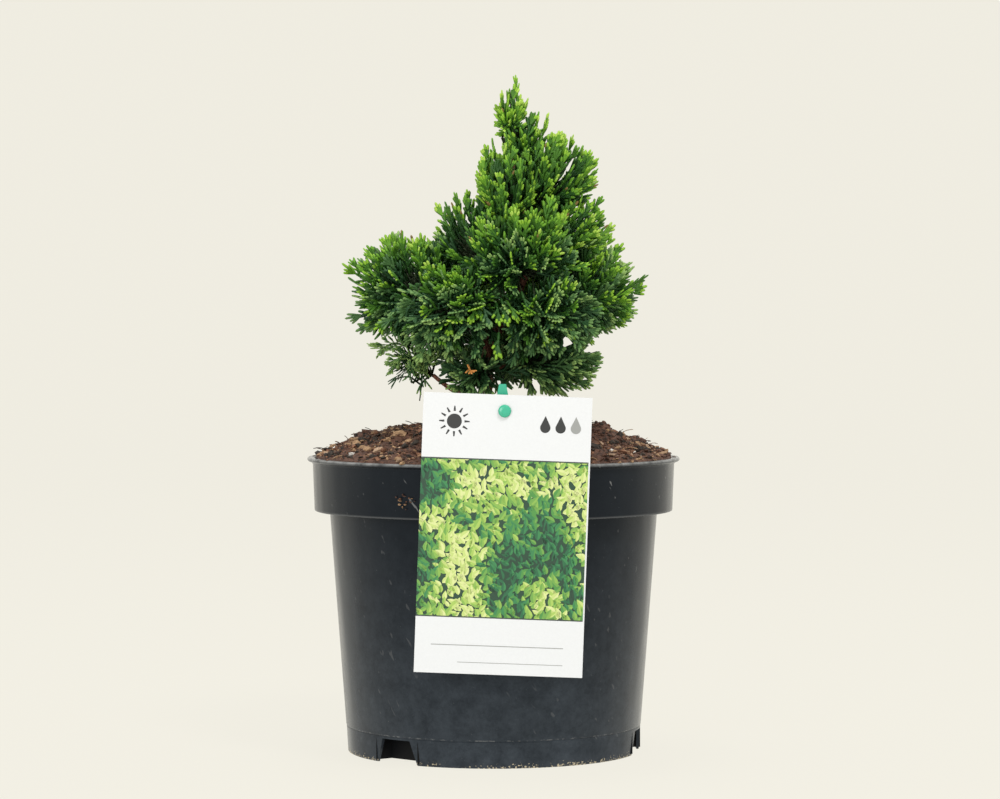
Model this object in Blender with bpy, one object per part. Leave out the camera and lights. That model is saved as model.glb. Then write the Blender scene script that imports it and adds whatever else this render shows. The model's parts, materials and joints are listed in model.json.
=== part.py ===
"""Dwarf hinoki cypress in a three litre nursery pot, with its soil, plant label and label pick.

Run with: blender --background --python part.py
Metres, +Z up. The pot stands on z = 0 with its axis on the Z axis, and the label hangs on the -Y side.
"""

import math
import random
from collections import namedtuple

import bmesh
import bpy
from mathutils import Matrix, Vector

MM = 0.001
GAP = 0.3 * MM
UP = Vector((0, 0, 1))
GOLDEN_ANGLE = math.radians(137.5)

# Pot: radii and heights of its turned wall
POT_SEGMENTS = 56
WALL = 1.3 * MM
POT_HEIGHT = 150 * MM
LIP_RADIUS = 95 * MM
LIP_DROP = 1.6 * MM
BAND_TOP_RADIUS = 92.3 * MM
BAND_LOW_RADIUS = 91.4 * MM
BAND_LOW_HEIGHT = 122.8 * MM
BODY_TOP_RADIUS = 83.6 * MM
SEAM_RADIUS = 75.4 * MM
SEAM_HEIGHT = 13.4 * MM
SEAM_DEPTH = 0.5 * MM
FOOT_RADIUS = 74.4 * MM
FLOOR_UNDER = 12.6 * MM

# Notches in the foot ring, and drain holes through the floor
NOTCH_ANGLES = [math.radians(a) for a in (-130.5, -10.5, 109.5)]
NOTCH_HALF_WIDTH = 14 * MM
NOTCH_TOP_HALF_WIDTH = 9 * MM
NOTCH_HEIGHT = 12 * MM
NOTCH_CUT_REACH = 5 * WALL
NOTCH_CUT_BELOW = 2 * WALL
DRAIN_HOLES = 6
DRAIN_RADIUS = 5 * MM
DRAIN_SIDES = 12
DRAIN_RING_RADIUS = 56 * MM

# Soil: a low mound over the rim, flat where the trunk stands
SOIL_TOP = 167 * MM
SOIL_EDGE = 149.6 * MM
SOIL_DOME_POWER = 2.2
SOIL_FLAT_RADIUS = 17 * MM
SOIL_BUMP = 1.5 * MM
SOIL_BUMP_FADE = 12 * MM
SOIL_RIM_POWER = 4
SOIL_WAVES = (95, 80)
SOIL_WAVE_STARTS = (1.3, -0.4)
SOIL_RIPPLES = (210, 170)
SOIL_RIPPLE_SHARE = 0.6
SOIL_RINGS = 5

# Label card and the pick that holds it
CARD_WIDTH = 81.6 * MM
CARD_HEIGHT = 135.7 * MM
CARD_THICKNESS = 0.6 * MM
CARD_CENTRE_X = 4.6 * MM
CARD_CENTRE_Z = 116.4 * MM
CARD_ROLL = math.radians(2.1)
CARD_BACK_Y = -LIP_RADIUS - GAP
STUD_X = 5.4 * MM
STUD_Z = 176.4 * MM
STUD_NECK_RADIUS = 1.7 * MM
STUD_HEAD_RADIUS = 3.1 * MM
STUD_HEAD_THICKNESS = 1.4 * MM
STUD_HEAD_STEPS = [(0, 1), (0.45, 1), (0.8, 0.8), (1, 0.45)]
STUD_NECK_SIDES = 16
STUD_HEAD_SIDES = 20
STUD_HOLE_MARGIN = 2 * MM
PICK_X = STUD_X - 1 * MM
PICK_WIDTH = 6.4 * MM
PICK_POINT_WIDTH = 1.6 * MM
PICK_TOP_WIDTH = 3.4 * MM
PICK_THICKNESS = 1.8 * MM
PICK_RIM_Y = -86 * MM
PICK_LEAN = 0.17
PICK_FOOT_Z = 127 * MM
PICK_POINT = 6 * MM
PICK_HEAD = 8 * MM
PICK_TOP_Z = 189.4 * MM

# Trunk: the points that its axis passes, from the cut at the soil to its tip
TRUNK_SIDES = 9
TRUNK_RINGS = 18
TRUNK_RING_POWER = 1.25
TRUNK_AXIS = [
    Vector(p) * MM
    for p in (
        (-4.5, 0, 167.3),
        (-3.8, -0.5, 189),
        (-1.5, -1.5, 207),
        (12, -3, 233),
        (19, -2.5, 257),
        (14.5, 0, 284),
        (9.5, 0, 303),
    )
]
TRUNK_FOOT_RADIUS = 4.1 * MM
TRUNK_TIP_RADIUS = 1.1 * MM
TRUNK_TAPER_POWER = 0.8
TRUNK_SHARE_STEP = 0.01
TRUNK_TIP_SHARE = 0.97
FLARE_EXTRA = 2.6 * MM
FLARE_HEIGHT = 8 * MM
FLARE_LOBES = 4
FLARE_LOBE_RINGS = 3
FLARE_LOBE_DEPTH = 0.16
FLARE_LOBE_TURN = 0.5

# Boughs
BOUGH_SIDES = 5
BOUGH_RINGS = 5
BOUGH_FOOT_RADIUS = 1.7 * MM
BOUGH_TIP_RADIUS = 1.0 * MM
BOUGH_ENTRY = 0.86
BOUGH_BEND = 0.4
BOUGH_SAG = 0.06
SHORTEST_BOUGH = 4 * MM
THINNEST_BOUGH = 0.6
FULL_BOUGH_LENGTH = 60 * MM

# Foliage: a twig carries flat fans, and each fan is a blade cut into blunt fingers
FAN_LENGTH = 25 * MM
FAN_THICKNESS = 1.3 * MM
FAN_ROOT_HALF_WIDTH = 0.9 * MM
FAN_SINK = 2.2 * MM
# Half of a fan's outline beyond its root: shares of its length along, and of its half width across
FAN_SHAPE = [(0.28, 0.30), (0.74, 1), (0.89, 0.74), (0.64, 0.26), (1, 0.14)]
SHORTEST_FAN = 9 * MM
FAN_ROLL = math.radians(60)
LEVEL_ENOUGH = 0.3
FINGER_LINES = 5
FINGER_PROBES = 7
FINGER_PROBE_REACH = 0.9
FAN_STEP = 2.5 * MM
TWIG_STEP = 1.5 * MM
TWIG_RADIUS = 1.0 * MM
TWIG_TIP_RADIUS = 0.8 * MM
TWIG_SIDES = 3
TWIG_SINK = 0.8 * MM
TWIG_PROBES = 6
TWIG_TURN_SPREAD = 0.3
TWIG_LIFT = 0.5
FIRST_TWIG = 0.45
TWIG_SPAN = 0.5
STEM_SIDES = 5
STEM_MIDDLE_RADIUS = 1.04 * MM
STEM_END_RADIUS = 0.78 * MM
STEM_MIDDLE = 0.6
STEM_LEAD = 0.5 * MM
CORE_OPEN_SHARE = 0.66
CORE_WALL_SHARE = 0.92
CORE_ROUGHNESS = 0.14
CORE_TRIES = 20
CORE_SHRINK = 0.88
CORE_PROBES = 4
OPEN_SHARE = 0.8
SPACE_SPILL = 1.08
CELL_MARGIN = 0.4 * MM
LIMB_CLEARANCE = 0.7 * MM
LIMB_SEARCH = 12 * MM
LIMB_STRETCHES = 40
SOIL_CLEARANCE = 2 * MM
MARCH = 0.5 * MM

# How a kind of mass grows: how far its stem runs towards the edge of its space, how wide a fan is
# for its length, the angle of its twigs to its stem from first to last, and whether it has a core
Habit = namedtuple("Habit", "stem_reach fan_width first_angle last_angle core")
DENSE = Habit(0.35, 0.56, math.radians(120), math.radians(8), True)
SPRAY = Habit(0.72, 0.36, math.radians(48), math.radians(8), False)

# A lobe of the crown: the centre and half sizes of its space in mm, the height at which its bough
# leaves the trunk, how much its twigs turn up, its number of twigs and its habit
Lobe = namedtuple("Lobe", "name centre half_size leaves_at lift twigs habit")
LOBES = [
    Lobe("leader", (9, 0, 324), (8.2, 8.5, 23), None, 0.5, 9, SPRAY),
    Lobe("leader_right", (16.5, -1, 311), (12, 11, 18), 288, 0.7, 8, SPRAY),
    Lobe("top_right", (32.5, -6, 293.5), (21, 23, 21), 274, 0.3, 12, DENSE),
    Lobe("top_left", (7, -12, 288), (15, 22, 25), 266, 0.3, 12, DENSE),
    Lobe("top_back", (17, 24, 286), (25, 23, 26), 268, 0.3, 12, DENSE),
    Lobe("upper_right", (37, -5, 265), (20.5, 25, 20), 252, 0.2, 11, DENSE),
    Lobe("right_lobe", (45, 0, 234), (27.5, 30, 23), 230, 0.2, 13, DENSE),
    Lobe("left_lobe", (-45, -6, 235.5), (26, 30, 27), 212, 0.2, 14, DENSE),
    Lobe("left_shoulder", (-12, -3, 262), (17, 26, 22), 228, 0.3, 12, DENSE),
    Lobe("front_centre", (13, -36, 250), (29, 23, 27), 238, 0.1, 13, DENSE),
    Lobe("front_left", (-20, -36, 223), (31, 24, 22), 208, 0.0, 13, DENSE),
    Lobe("front_right", (26, -38, 222), (27, 23, 22), 220, 0.0, 12, DENSE),
    Lobe("low_right", (29.5, -5, 200), (24.5, 28, 19), 196, 0.0, 12, DENSE),
    Lobe("low_front", (-5, -25, 194), (23, 20, 14), 186, 0.0, 10, DENSE),
    Lobe("back_right", (36, 37, 238), (30, 28, 32), 226, 0.2, 13, DENSE),
    Lobe("back_left", (-20, 36, 236.5), (31, 28, 26.5), 216, 0.2, 14, DENSE),
    Lobe("back_low", (2, 36, 205), (34, 27, 20), 200, 0.0, 12, DENSE),
    Lobe("low_left", (-42, -7, 197), (15, 12, 17), 181, 0.5, 7, SPRAY),
]

COLOURS = {
    "pot": ((0.018, 0.020, 0.024), 0.28),
    "soil": ((0.16, 0.075, 0.04), 0.95),
    "card": ((0.86, 0.87, 0.88), 0.35),
    "pick": ((0.08, 0.55, 0.42), 0.35),
    "bark": ((0.17, 0.07, 0.04), 0.9),
    "foliage": ((0.05, 0.16, 0.03), 0.55),
}


def clear_scene():
    for old in list(bpy.data.objects):
        bpy.data.objects.remove(old)


def material(name):
    """A plain Principled material with the sub-part's colour and roughness."""
    found = bpy.data.materials.get(name)
    if found:
        return found
    colour, roughness = COLOURS[name]
    made = bpy.data.materials.new(name)
    made.use_nodes = True
    shader = made.node_tree.nodes["Principled BSDF"]
    shader.inputs["Base Color"].default_value = (*colour, 1)
    shader.inputs["Roughness"].default_value = roughness
    shader.inputs["Metallic"].default_value = 0
    return made


def new_object(name, points, faces, look, smooth=True):
    """An object from points and faces, its faces turned outwards."""
    mesh = bpy.data.meshes.new(name)
    mesh.from_pydata([tuple(p) for p in points], [], faces)
    shape = bmesh.new()
    shape.from_mesh(mesh)
    bmesh.ops.recalc_face_normals(shape, faces=shape.faces)
    shape.to_mesh(mesh)
    shape.free()
    mesh.materials.append(material(look))
    if smooth:
        mesh.shade_smooth()
        mesh.set_sharp_from_angle(angle=math.radians(40))
    made = bpy.data.objects.new(name, mesh)
    bpy.context.scene.collection.objects.link(made)
    return made


def ring_faces(rings, sides, closed_ends=True):
    """Faces of a tube whose points come ring by ring, with a flat face at each end."""
    faces = []
    for ring in range(rings - 1):
        for side in range(sides):
            here = ring * sides + side
            beside = ring * sides + (side + 1) % sides
            faces.append((here, beside, beside + sides, here + sides))
    if closed_ends:
        faces.append(tuple(range(sides)))
        faces.append(tuple((rings - 1) * sides + side for side in range(sides)))
    return faces


def cut(target, cutter):
    """Takes the cutter's shape out of the target, and removes the cutter."""
    modifier = target.modifiers.new("cut", "BOOLEAN")
    modifier.operation = "DIFFERENCE"
    modifier.object = cutter
    apply_modifiers(target)
    bpy.data.objects.remove(cutter)


def apply_modifiers(target):
    """Replaces the object's mesh by its evaluated one."""
    bpy.context.view_layer.update()
    graph = bpy.context.evaluated_depsgraph_get()
    mesh = bpy.data.meshes.new_from_object(target.evaluated_get(graph))
    target.modifiers.clear()
    target.data = mesh


def fuse(name, pieces):
    """One Boolean union of all pieces, which take the first piece's material, as one object."""
    target = pieces[0]
    target.name = name
    others = bpy.data.collections.new(name + "_pieces")
    bpy.context.scene.collection.children.link(others)
    for piece in pieces[1:]:
        bpy.context.scene.collection.objects.unlink(piece)
        others.objects.link(piece)
    modifier = target.modifiers.new("union", "BOOLEAN")
    modifier.operation = "UNION"
    modifier.solver = "MANIFOLD"
    modifier.operand_type = "COLLECTION"
    modifier.collection = others
    apply_modifiers(target)
    for piece in list(others.objects):
        bpy.data.objects.remove(piece)
    bpy.data.collections.remove(others)
    keep_largest_shell(target)
    return target


def keep_largest_shell(target):
    """Drops loose scraps, and fills sealed hollows by dropping their walls."""
    shape = bmesh.new()
    shape.from_mesh(target.data)
    left = set(shape.verts)
    shells = []
    while left:
        queue = [left.pop()]
        shell = set(queue)
        while queue:
            for edge in queue.pop().link_edges:
                for end in edge.verts:
                    if end in left:
                        left.discard(end)
                        shell.add(end)
                        queue.append(end)
        shells.append(shell)
    largest = max(shells, key=len)
    spare = [point for shell in shells if shell is not largest for point in shell]
    bmesh.ops.delete(shape, geom=spare, context="VERTS")
    shape.to_mesh(target.data)
    shape.free()


# Pot

def pot_profile():
    """The pot wall's cross-section, radius and height, round from the foot's inner edge."""
    band_inner = BAND_LOW_RADIUS - WALL
    return [
        (FOOT_RADIUS - WALL, 0),
        (FOOT_RADIUS, 0),
        (SEAM_RADIUS - SEAM_DEPTH, SEAM_HEIGHT - SEAM_DEPTH),
        (SEAM_RADIUS, SEAM_HEIGHT + SEAM_DEPTH),
        (BODY_TOP_RADIUS, BAND_LOW_HEIGHT),
        (BAND_LOW_RADIUS, BAND_LOW_HEIGHT),
        (BAND_TOP_RADIUS, POT_HEIGHT - 2 * LIP_DROP),
        (LIP_RADIUS, POT_HEIGHT - LIP_DROP),
        (LIP_RADIUS, POT_HEIGHT),
        (BAND_TOP_RADIUS - WALL, POT_HEIGHT),
        (band_inner, BAND_LOW_HEIGHT + WALL),
        (BODY_TOP_RADIUS - WALL, BAND_LOW_HEIGHT + WALL),
        (SEAM_RADIUS - WALL - SEAM_DEPTH, FLOOR_UNDER + WALL),
    ]


def turned_points(profile):
    points = []
    for radius, height in profile:
        for side in range(POT_SEGMENTS):
            angle = math.tau * side / POT_SEGMENTS
            points.append(Vector((radius * math.cos(angle), radius * math.sin(angle), height)))
    return points


def make_pot():
    """A turned wall with a raised floor, three notches in its foot and a ring of drain holes."""
    profile = pot_profile()
    under_floor = (FOOT_RADIUS - WALL, FLOOR_UNDER)
    rings = [*profile, under_floor]
    inner_floor = (len(profile) - 1) * POT_SEGMENTS
    outer_floor = inner_floor + POT_SEGMENTS
    faces = ring_faces(len(profile), POT_SEGMENTS, closed_ends=False)
    for side in range(POT_SEGMENTS):
        beside = (side + 1) % POT_SEGMENTS
        faces.append((side, beside, outer_floor + beside, outer_floor + side))
    faces.append(tuple(inner_floor + side for side in range(POT_SEGMENTS)))
    faces.append(tuple(outer_floor + side for side in range(POT_SEGMENTS)))
    pot = new_object("pot", turned_points(rings), faces, "pot")
    for angle in NOTCH_ANGLES:
        cut(pot, notch_cutter(angle))
    for hole in range(DRAIN_HOLES):
        angle = NOTCH_ANGLES[0] + math.tau * hole / DRAIN_HOLES
        place = Vector((math.cos(angle), math.sin(angle), 0)) * DRAIN_RING_RADIUS
        cut(pot, drain_cutter(place))
    pot.data.shade_smooth()
    pot.data.set_sharp_from_angle(angle=math.radians(35))
    return pot


def notch_cutter(angle):
    """A wedge with sloping sides that opens the foot ring at this angle."""
    points = []
    for radius in (FOOT_RADIUS - NOTCH_CUT_REACH, FOOT_RADIUS + NOTCH_CUT_REACH):
        for across, height in (
            (-NOTCH_HALF_WIDTH, -NOTCH_CUT_BELOW),
            (NOTCH_HALF_WIDTH, -NOTCH_CUT_BELOW),
            (NOTCH_TOP_HALF_WIDTH, NOTCH_HEIGHT),
            (-NOTCH_TOP_HALF_WIDTH, NOTCH_HEIGHT),
        ):
            points.append(Vector((radius, across, height)))
    turn = Matrix.Rotation(angle, 4, "Z")
    return new_object("notch_cutter", [turn @ p for p in points], ring_faces(2, 4), "pot", False)


def drain_cutter(place):
    points = []
    for height in (FLOOR_UNDER - WALL, FLOOR_UNDER + 2 * WALL):
        for side in range(DRAIN_SIDES):
            angle = math.tau * side / DRAIN_SIDES
            offset = Vector((math.cos(angle), math.sin(angle), 0)) * DRAIN_RADIUS
            points.append(place + offset + UP * height)
    return new_object("drain_cutter", points, ring_faces(2, DRAIN_SIDES), "pot", False)


# Soil

def soil_height(x, y):
    """Height of the mound's surface: a dome from the rim to the trunk, with soft bumps."""
    radius = math.hypot(x, y)
    share = min(1, radius / BAND_TOP_RADIUS)
    dome = SOIL_EDGE + (SOIL_TOP - SOIL_EDGE) * (1 - share**SOIL_DOME_POWER)
    if radius <= SOIL_FLAT_RADIUS:
        return SOIL_TOP
    wave = math.sin(x * SOIL_WAVES[0] + SOIL_WAVE_STARTS[0])
    wave *= math.cos(y * SOIL_WAVES[1] + SOIL_WAVE_STARTS[1])
    ripple = SOIL_RIPPLE_SHARE * math.sin(x * SOIL_RIPPLES[0] - y * SOIL_RIPPLES[1])
    fade = min(1, (radius - SOIL_FLAT_RADIUS) / SOIL_BUMP_FADE) * (1 - share**SOIL_RIM_POWER)
    return dome + SOIL_BUMP * (wave + ripple) * fade


def make_soil(pick_slot):
    """Soil that fills the pot a hair clear of its wall, with a slot where the label pick stands."""
    wall = [
        (SEAM_RADIUS - WALL - SEAM_DEPTH - GAP, FLOOR_UNDER + WALL + GAP),
        (BODY_TOP_RADIUS - WALL - GAP, BAND_LOW_HEIGHT + WALL + GAP),
        (BAND_LOW_RADIUS - WALL - GAP, BAND_LOW_HEIGHT + WALL + GAP),
        (BAND_TOP_RADIUS - WALL - GAP, SOIL_EDGE),
    ]
    points = turned_points(wall)
    rim = wall[-1][0]
    for ring in range(1, SOIL_RINGS + 1):
        radius = rim + (SOIL_FLAT_RADIUS - rim) * ring / SOIL_RINGS
        for point in turned_points([(radius, 0)]):
            point.z = soil_height(point.x, point.y)
            points.append(point)
    faces = ring_faces(len(wall) + SOIL_RINGS, POT_SEGMENTS)
    soil = new_object("soil", points, faces, "soil")
    cut(soil, pick_slot)
    return soil


# Label

def card_turn():
    """Turns the card's own upright frame about its centre, clockwise from the front."""
    centre = Matrix.Translation((CARD_CENTRE_X, CARD_BACK_Y, CARD_CENTRE_Z))
    return centre @ Matrix.Rotation(CARD_ROLL, 4, "Y")


def make_card():
    """The thin card, with the hole that the pick's stud goes through."""
    corners = [(-1, -1), (1, -1), (1, 1), (-1, 1)]
    points = []
    for y in (0, -CARD_THICKNESS):
        for across, up in corners:
            corner = Vector((across * CARD_WIDTH / 2, y, up * CARD_HEIGHT / 2))
            points.append(card_turn() @ corner)
    card = new_object("label_card", points, ring_faces(2, 4), "card", False)
    back = Vector((STUD_X, CARD_BACK_Y + STUD_HOLE_MARGIN, STUD_Z))
    front = Vector((STUD_X, CARD_BACK_Y - CARD_THICKNESS - STUD_HOLE_MARGIN, STUD_Z))
    radius = STUD_NECK_RADIUS + GAP
    cut(card, rod("hole_cutter", back, front, radius, radius, STUD_NECK_SIDES, "card"))
    return card


def rod(name, start, end, start_radius, end_radius, sides, look):
    return tube(name, [start, end], [start_radius, end_radius], sides, look)


def pick_y(height):
    """Where the leaning pick is at this height."""
    return PICK_RIM_Y - PICK_LEAN * (height - POT_HEIGHT)


def pick_plate(name, grow, look):
    """The pick's leaning plate, pointed below and narrowed at its head. grow makes it larger."""
    stations = [
        (PICK_FOOT_Z - grow, PICK_POINT_WIDTH / 2),
        (PICK_FOOT_Z + PICK_POINT, PICK_WIDTH / 2),
        (PICK_TOP_Z - PICK_HEAD, PICK_WIDTH / 2),
        (PICK_TOP_Z + grow, PICK_TOP_WIDTH / 2),
    ]
    half_thickness = PICK_THICKNESS / 2 + grow
    points = []
    for height, half_width in stations:
        for across, out in ((-1, 1), (1, 1), (1, -1), (-1, -1)):
            x = PICK_X + across * (half_width + grow)
            points.append(Vector((x, pick_y(height) + out * half_thickness, height)))
    return new_object(name, points, ring_faces(len(stations), 4), look, False)


def make_pick():
    """The pick with its stud: a neck through the card and a round head in front of it."""
    plate = pick_plate("label_pick", 0, "pick")
    head_back = CARD_BACK_Y - CARD_THICKNESS - GAP
    root = Vector((STUD_X, pick_y(STUD_Z), STUD_Z))
    tip = Vector((STUD_X, head_back - STUD_HEAD_THICKNESS / 2, STUD_Z))
    neck = rod("neck", root, tip, STUD_NECK_RADIUS, STUD_NECK_RADIUS, STUD_NECK_SIDES, "pick")
    path = [Vector((STUD_X, head_back - out * STUD_HEAD_THICKNESS, STUD_Z)) for out, _ in STUD_HEAD_STEPS]
    radii = [STUD_HEAD_RADIUS * width for _, width in STUD_HEAD_STEPS]
    head = tube("head", path, radii, STUD_HEAD_SIDES, "pick")
    return fuse("label_pick", [plate, neck, head])


# Limbs

def smooth_point(knots, share):
    """A point on the smooth curve through the knots, share running from 0 to 1."""
    place = share * (len(knots) - 1)
    index = min(int(place), len(knots) - 2)
    t = place - index
    p1, p2 = knots[index], knots[index + 1]
    p0 = knots[index - 1] if index else p1 * 2 - p2
    p3 = knots[index + 2] if index + 2 < len(knots) else p2 * 2 - p1
    bend = (2 * p0 - 5 * p1 + 4 * p2 - p3) * t**2 + (3 * p1 - p0 - 3 * p2 + p3) * t**3
    return 0.5 * (2 * p1 + (p2 - p0) * t + bend)


def tube_points(path, radii, sides, flare, first_way):
    """Rings of points round a path, each square to it, but the first square to first_way if given."""
    points = []
    side_way = None
    for index, centre in enumerate(path):
        ahead = path[min(index + 1, len(path) - 1)] - path[max(index - 1, 0)]
        if first_way and index == 0:
            ahead = first_way
        ahead = ahead.normalized()
        if side_way is None:
            side_way = ahead.orthogonal()
        side_way = (side_way - ahead * side_way.dot(ahead)).normalized()
        other_way = ahead.cross(side_way)
        for side in range(sides):
            angle = math.tau * side / sides
            radius = radii[index] * (flare(index, angle) if flare else 1)
            points.append(centre + (side_way * math.cos(angle) + other_way * math.sin(angle)) * radius)
    return points


def tube(name, path, radii, sides, look, flare=None, first_way=None):
    points = tube_points(path, radii, sides, flare, first_way)
    return new_object(name, points, ring_faces(len(path), sides), look)


def trunk_point(share):
    return smooth_point(TRUNK_AXIS, share)


def trunk_radius(share):
    height = trunk_point(share).z - TRUNK_AXIS[0].z
    taper = TRUNK_FOOT_RADIUS + (TRUNK_TIP_RADIUS - TRUNK_FOOT_RADIUS) * share**TRUNK_TAPER_POWER
    return taper + FLARE_EXTRA * max(0, 1 - height / FLARE_HEIGHT) ** 2


def trunk_share_at(height):
    """The share of the trunk's axis that lies at this height."""
    low, high = 0.0, 1.0
    for _ in range(30):
        middle = (low + high) / 2
        if trunk_point(middle).z < height:
            low = middle
        else:
            high = middle
    return low


def make_trunk():
    """One whole tapering stem, from a flat cut on the soil with root lobes to its tip."""
    shares = [(ring / (TRUNK_RINGS - 1)) ** TRUNK_RING_POWER for ring in range(TRUNK_RINGS)]

    def root_lobes(ring, angle):
        fade = max(0, 1 - ring / FLARE_LOBE_RINGS)
        return 1 + FLARE_LOBE_DEPTH * fade * math.cos(FLARE_LOBES * angle + FLARE_LOBE_TURN)

    path = [trunk_point(share) for share in shares]
    radii = [trunk_radius(share) for share in shares]
    trunk = tube("trunk", path, radii, TRUNK_SIDES, "bark", root_lobes)
    foot = TRUNK_AXIS[0].z
    for point in trunk.data.vertices[:TRUNK_SIDES]:
        point.co.z = foot
    return trunk


Bough = namedtuple("Bough", "lobe path radii outward")


def bough_of(lobe):
    """The bough that springs square from the trunk's surface and ends where it enters the lobe's space."""
    centre = Vector(lobe.centre) * MM
    share = trunk_share_at(lobe.leaves_at * MM)
    axis = trunk_point(share)
    way = (centre - axis).normalized()
    along = (trunk_point(share + TRUNK_SHARE_STEP) - trunk_point(share - TRUNK_SHARE_STEP)).normalized()
    outward = (way - along * way.dot(along)).normalized()
    just_below = trunk_share_at(lobe.leaves_at * MM - BOUGH_FOOT_RADIUS)
    foot = axis + outward * (trunk_radius(just_below) + GAP)
    entry = min(mean_size(lobe) * BOUGH_ENTRY, (centre - foot).length - SHORTEST_BOUGH)
    tip = centre + (foot - centre).normalized() * entry
    length = (tip - foot).length
    bend = foot + outward * length * BOUGH_BEND - UP * length * BOUGH_SAG
    shares = [ring / (BOUGH_RINGS - 1) for ring in range(BOUGH_RINGS)]
    path = [foot * (1 - t) ** 2 + bend * 2 * t * (1 - t) + tip * t**2 for t in shares]
    thick = min(1.0, THINNEST_BOUGH + length / FULL_BOUGH_LENGTH)
    taper = BOUGH_TIP_RADIUS - BOUGH_FOOT_RADIUS
    radii = [(BOUGH_FOOT_RADIUS + taper * t) * thick for t in shares]
    return Bough(lobe, path, radii, outward)


def make_bough(bough):
    name = "bough_" + bough.lobe.name
    return tube(name, bough.path, bough.radii, BOUGH_SIDES, "bark", first_way=bough.outward)


# The spaces that the masses of foliage keep to

def mean_size(lobe):
    return sum(lobe.half_size) / 3 * MM


class Space:
    """A lobe's rounded space, on its own side of each neighbour, over the soil and clear of limbs."""

    def __init__(self, lobe, limbs):
        self.centre = Vector(lobe.centre) * MM
        self.half_size = [size * SPACE_SPILL * MM for size in lobe.half_size]
        self.walls = []
        for other in LOBES:
            between = Vector(other.centre) * MM - self.centre
            apart = between.length
            if other is lobe or apart > max(self.half_size) + max(other.half_size) * MM:
                continue
            wall = (apart**2 + mean_size(lobe) ** 2 - mean_size(other) ** 2) / (2 * apart)
            self.walls.append((between / apart, wall))
        reach = max(self.half_size) + LIMB_SEARCH
        self.limbs = [limb for limb in limbs if (limb[0] - self.centre).length < reach]

    def holds(self, point, margin=CELL_MARGIN):
        offset = point - self.centre
        if sum((offset[i] / self.half_size[i]) ** 2 for i in range(3)) > 1:
            return False
        if any(offset.dot(way) > wall - margin for way, wall in self.walls):
            return False
        return point.z > soil_height(point.x, point.y) + SOIL_CLEARANCE

    def misses_limbs(self, point):
        for start, end, radius in self.limbs:
            along = end - start
            share = max(0, min(1, (point - start).dot(along) / along.length_squared))
            if (start + along * share - point).length < radius + LIMB_CLEARANCE:
                return False
        return True

    def open_room(self, way):
        """The distance from the centre to the rounded space's own surface, with no neighbours counted."""
        return 1 / math.sqrt(sum((way[i] / self.half_size[i]) ** 2 for i in range(3)))

    def is_open(self, way):
        """True if no neighbour's space cuts this one short along way."""
        return self.room(self.centre, way) > OPEN_SHARE * self.open_room(way)

    def room(self, start, way, avoid_limbs=False):
        """How far one can go from start along way before leaving the space, or meeting a limb."""
        distance = 0.0
        point = start + way * MARCH
        while self.holds(point) and (not avoid_limbs or self.misses_limbs(point)):
            distance += MARCH
            point = start + way * (distance + MARCH)
        return distance


def limb_segments(boughs):
    """Every straight stretch of the trunk and the boughs, as two ends and a radius."""
    shares = [index / LIMB_STRETCHES for index in range(LIMB_STRETCHES + 1)]
    segments = [(trunk_point(a), trunk_point(b), trunk_radius(a)) for a, b in zip(shares, shares[1:])]
    for bough in boughs:
        for index in range(len(bough.path) - 1):
            segments.append((bough.path[index], bough.path[index + 1], bough.radii[index]))
    return segments


# Foliage

def fan_outline(length, width):
    """A fan's outline as distances along and across it: a narrow root, then three blunt fingers."""
    half = [(-FAN_SINK, FAN_ROOT_HALF_WIDTH)]
    half += [(along * length, across * width * length) for along, across in FAN_SHAPE]
    return half + [(along, -across) for along, across in reversed(half)]


def fan_solid(root, way, width_way, length, width):
    """Points and faces of a flat fan with its root at root, growing along way."""
    normal = way.cross(width_way).normalized() * FAN_THICKNESS / 2
    outline = [root + way * a + width_way * c for a, c in fan_outline(length, width)]
    points = [p + normal for p in outline] + [p - normal for p in outline]
    return points, ring_faces(2, len(outline))


def fan_fits(space, root, way, width_way, length, width):
    """True if a fan's corners are in the space, and points all over it are clear of limbs."""
    corners, _ = fan_solid(root, way, width_way, length, width)
    half = len(corners) // 2
    grown = [p for index, p in enumerate(corners) if index % half not in (0, half - 1)]
    if not all(space.holds(p) for p in grown):
        return False
    for line in range(FINGER_LINES):
        across = width * (2 * line / (FINGER_LINES - 1) - 1)
        tip = root + way * length * FINGER_PROBE_REACH + width_way * length * across
        for probe in range(FINGER_PROBES):
            if not space.misses_limbs(root.lerp(tip, probe / (FINGER_PROBES - 1))):
                return False
    return all(space.misses_limbs(p) for p in grown)


def twig_fits(space, start, end):
    probes = [start.lerp(end, (index + 1) / TWIG_PROBES) for index in range(TWIG_PROBES)]
    return all(space.holds(p, TWIG_RADIUS) and space.misses_limbs(p) for p in probes)


def face_probes(a, b, c):
    """Even points over a triangle, its corners among them."""
    probes = []
    for i in range(CORE_PROBES + 1):
        for j in range(CORE_PROBES + 1 - i):
            probes.append(a * (i / CORE_PROBES) + b * (j / CORE_PROBES) + c * (1 - (i + j) / CORE_PROBES))
    return probes


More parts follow.
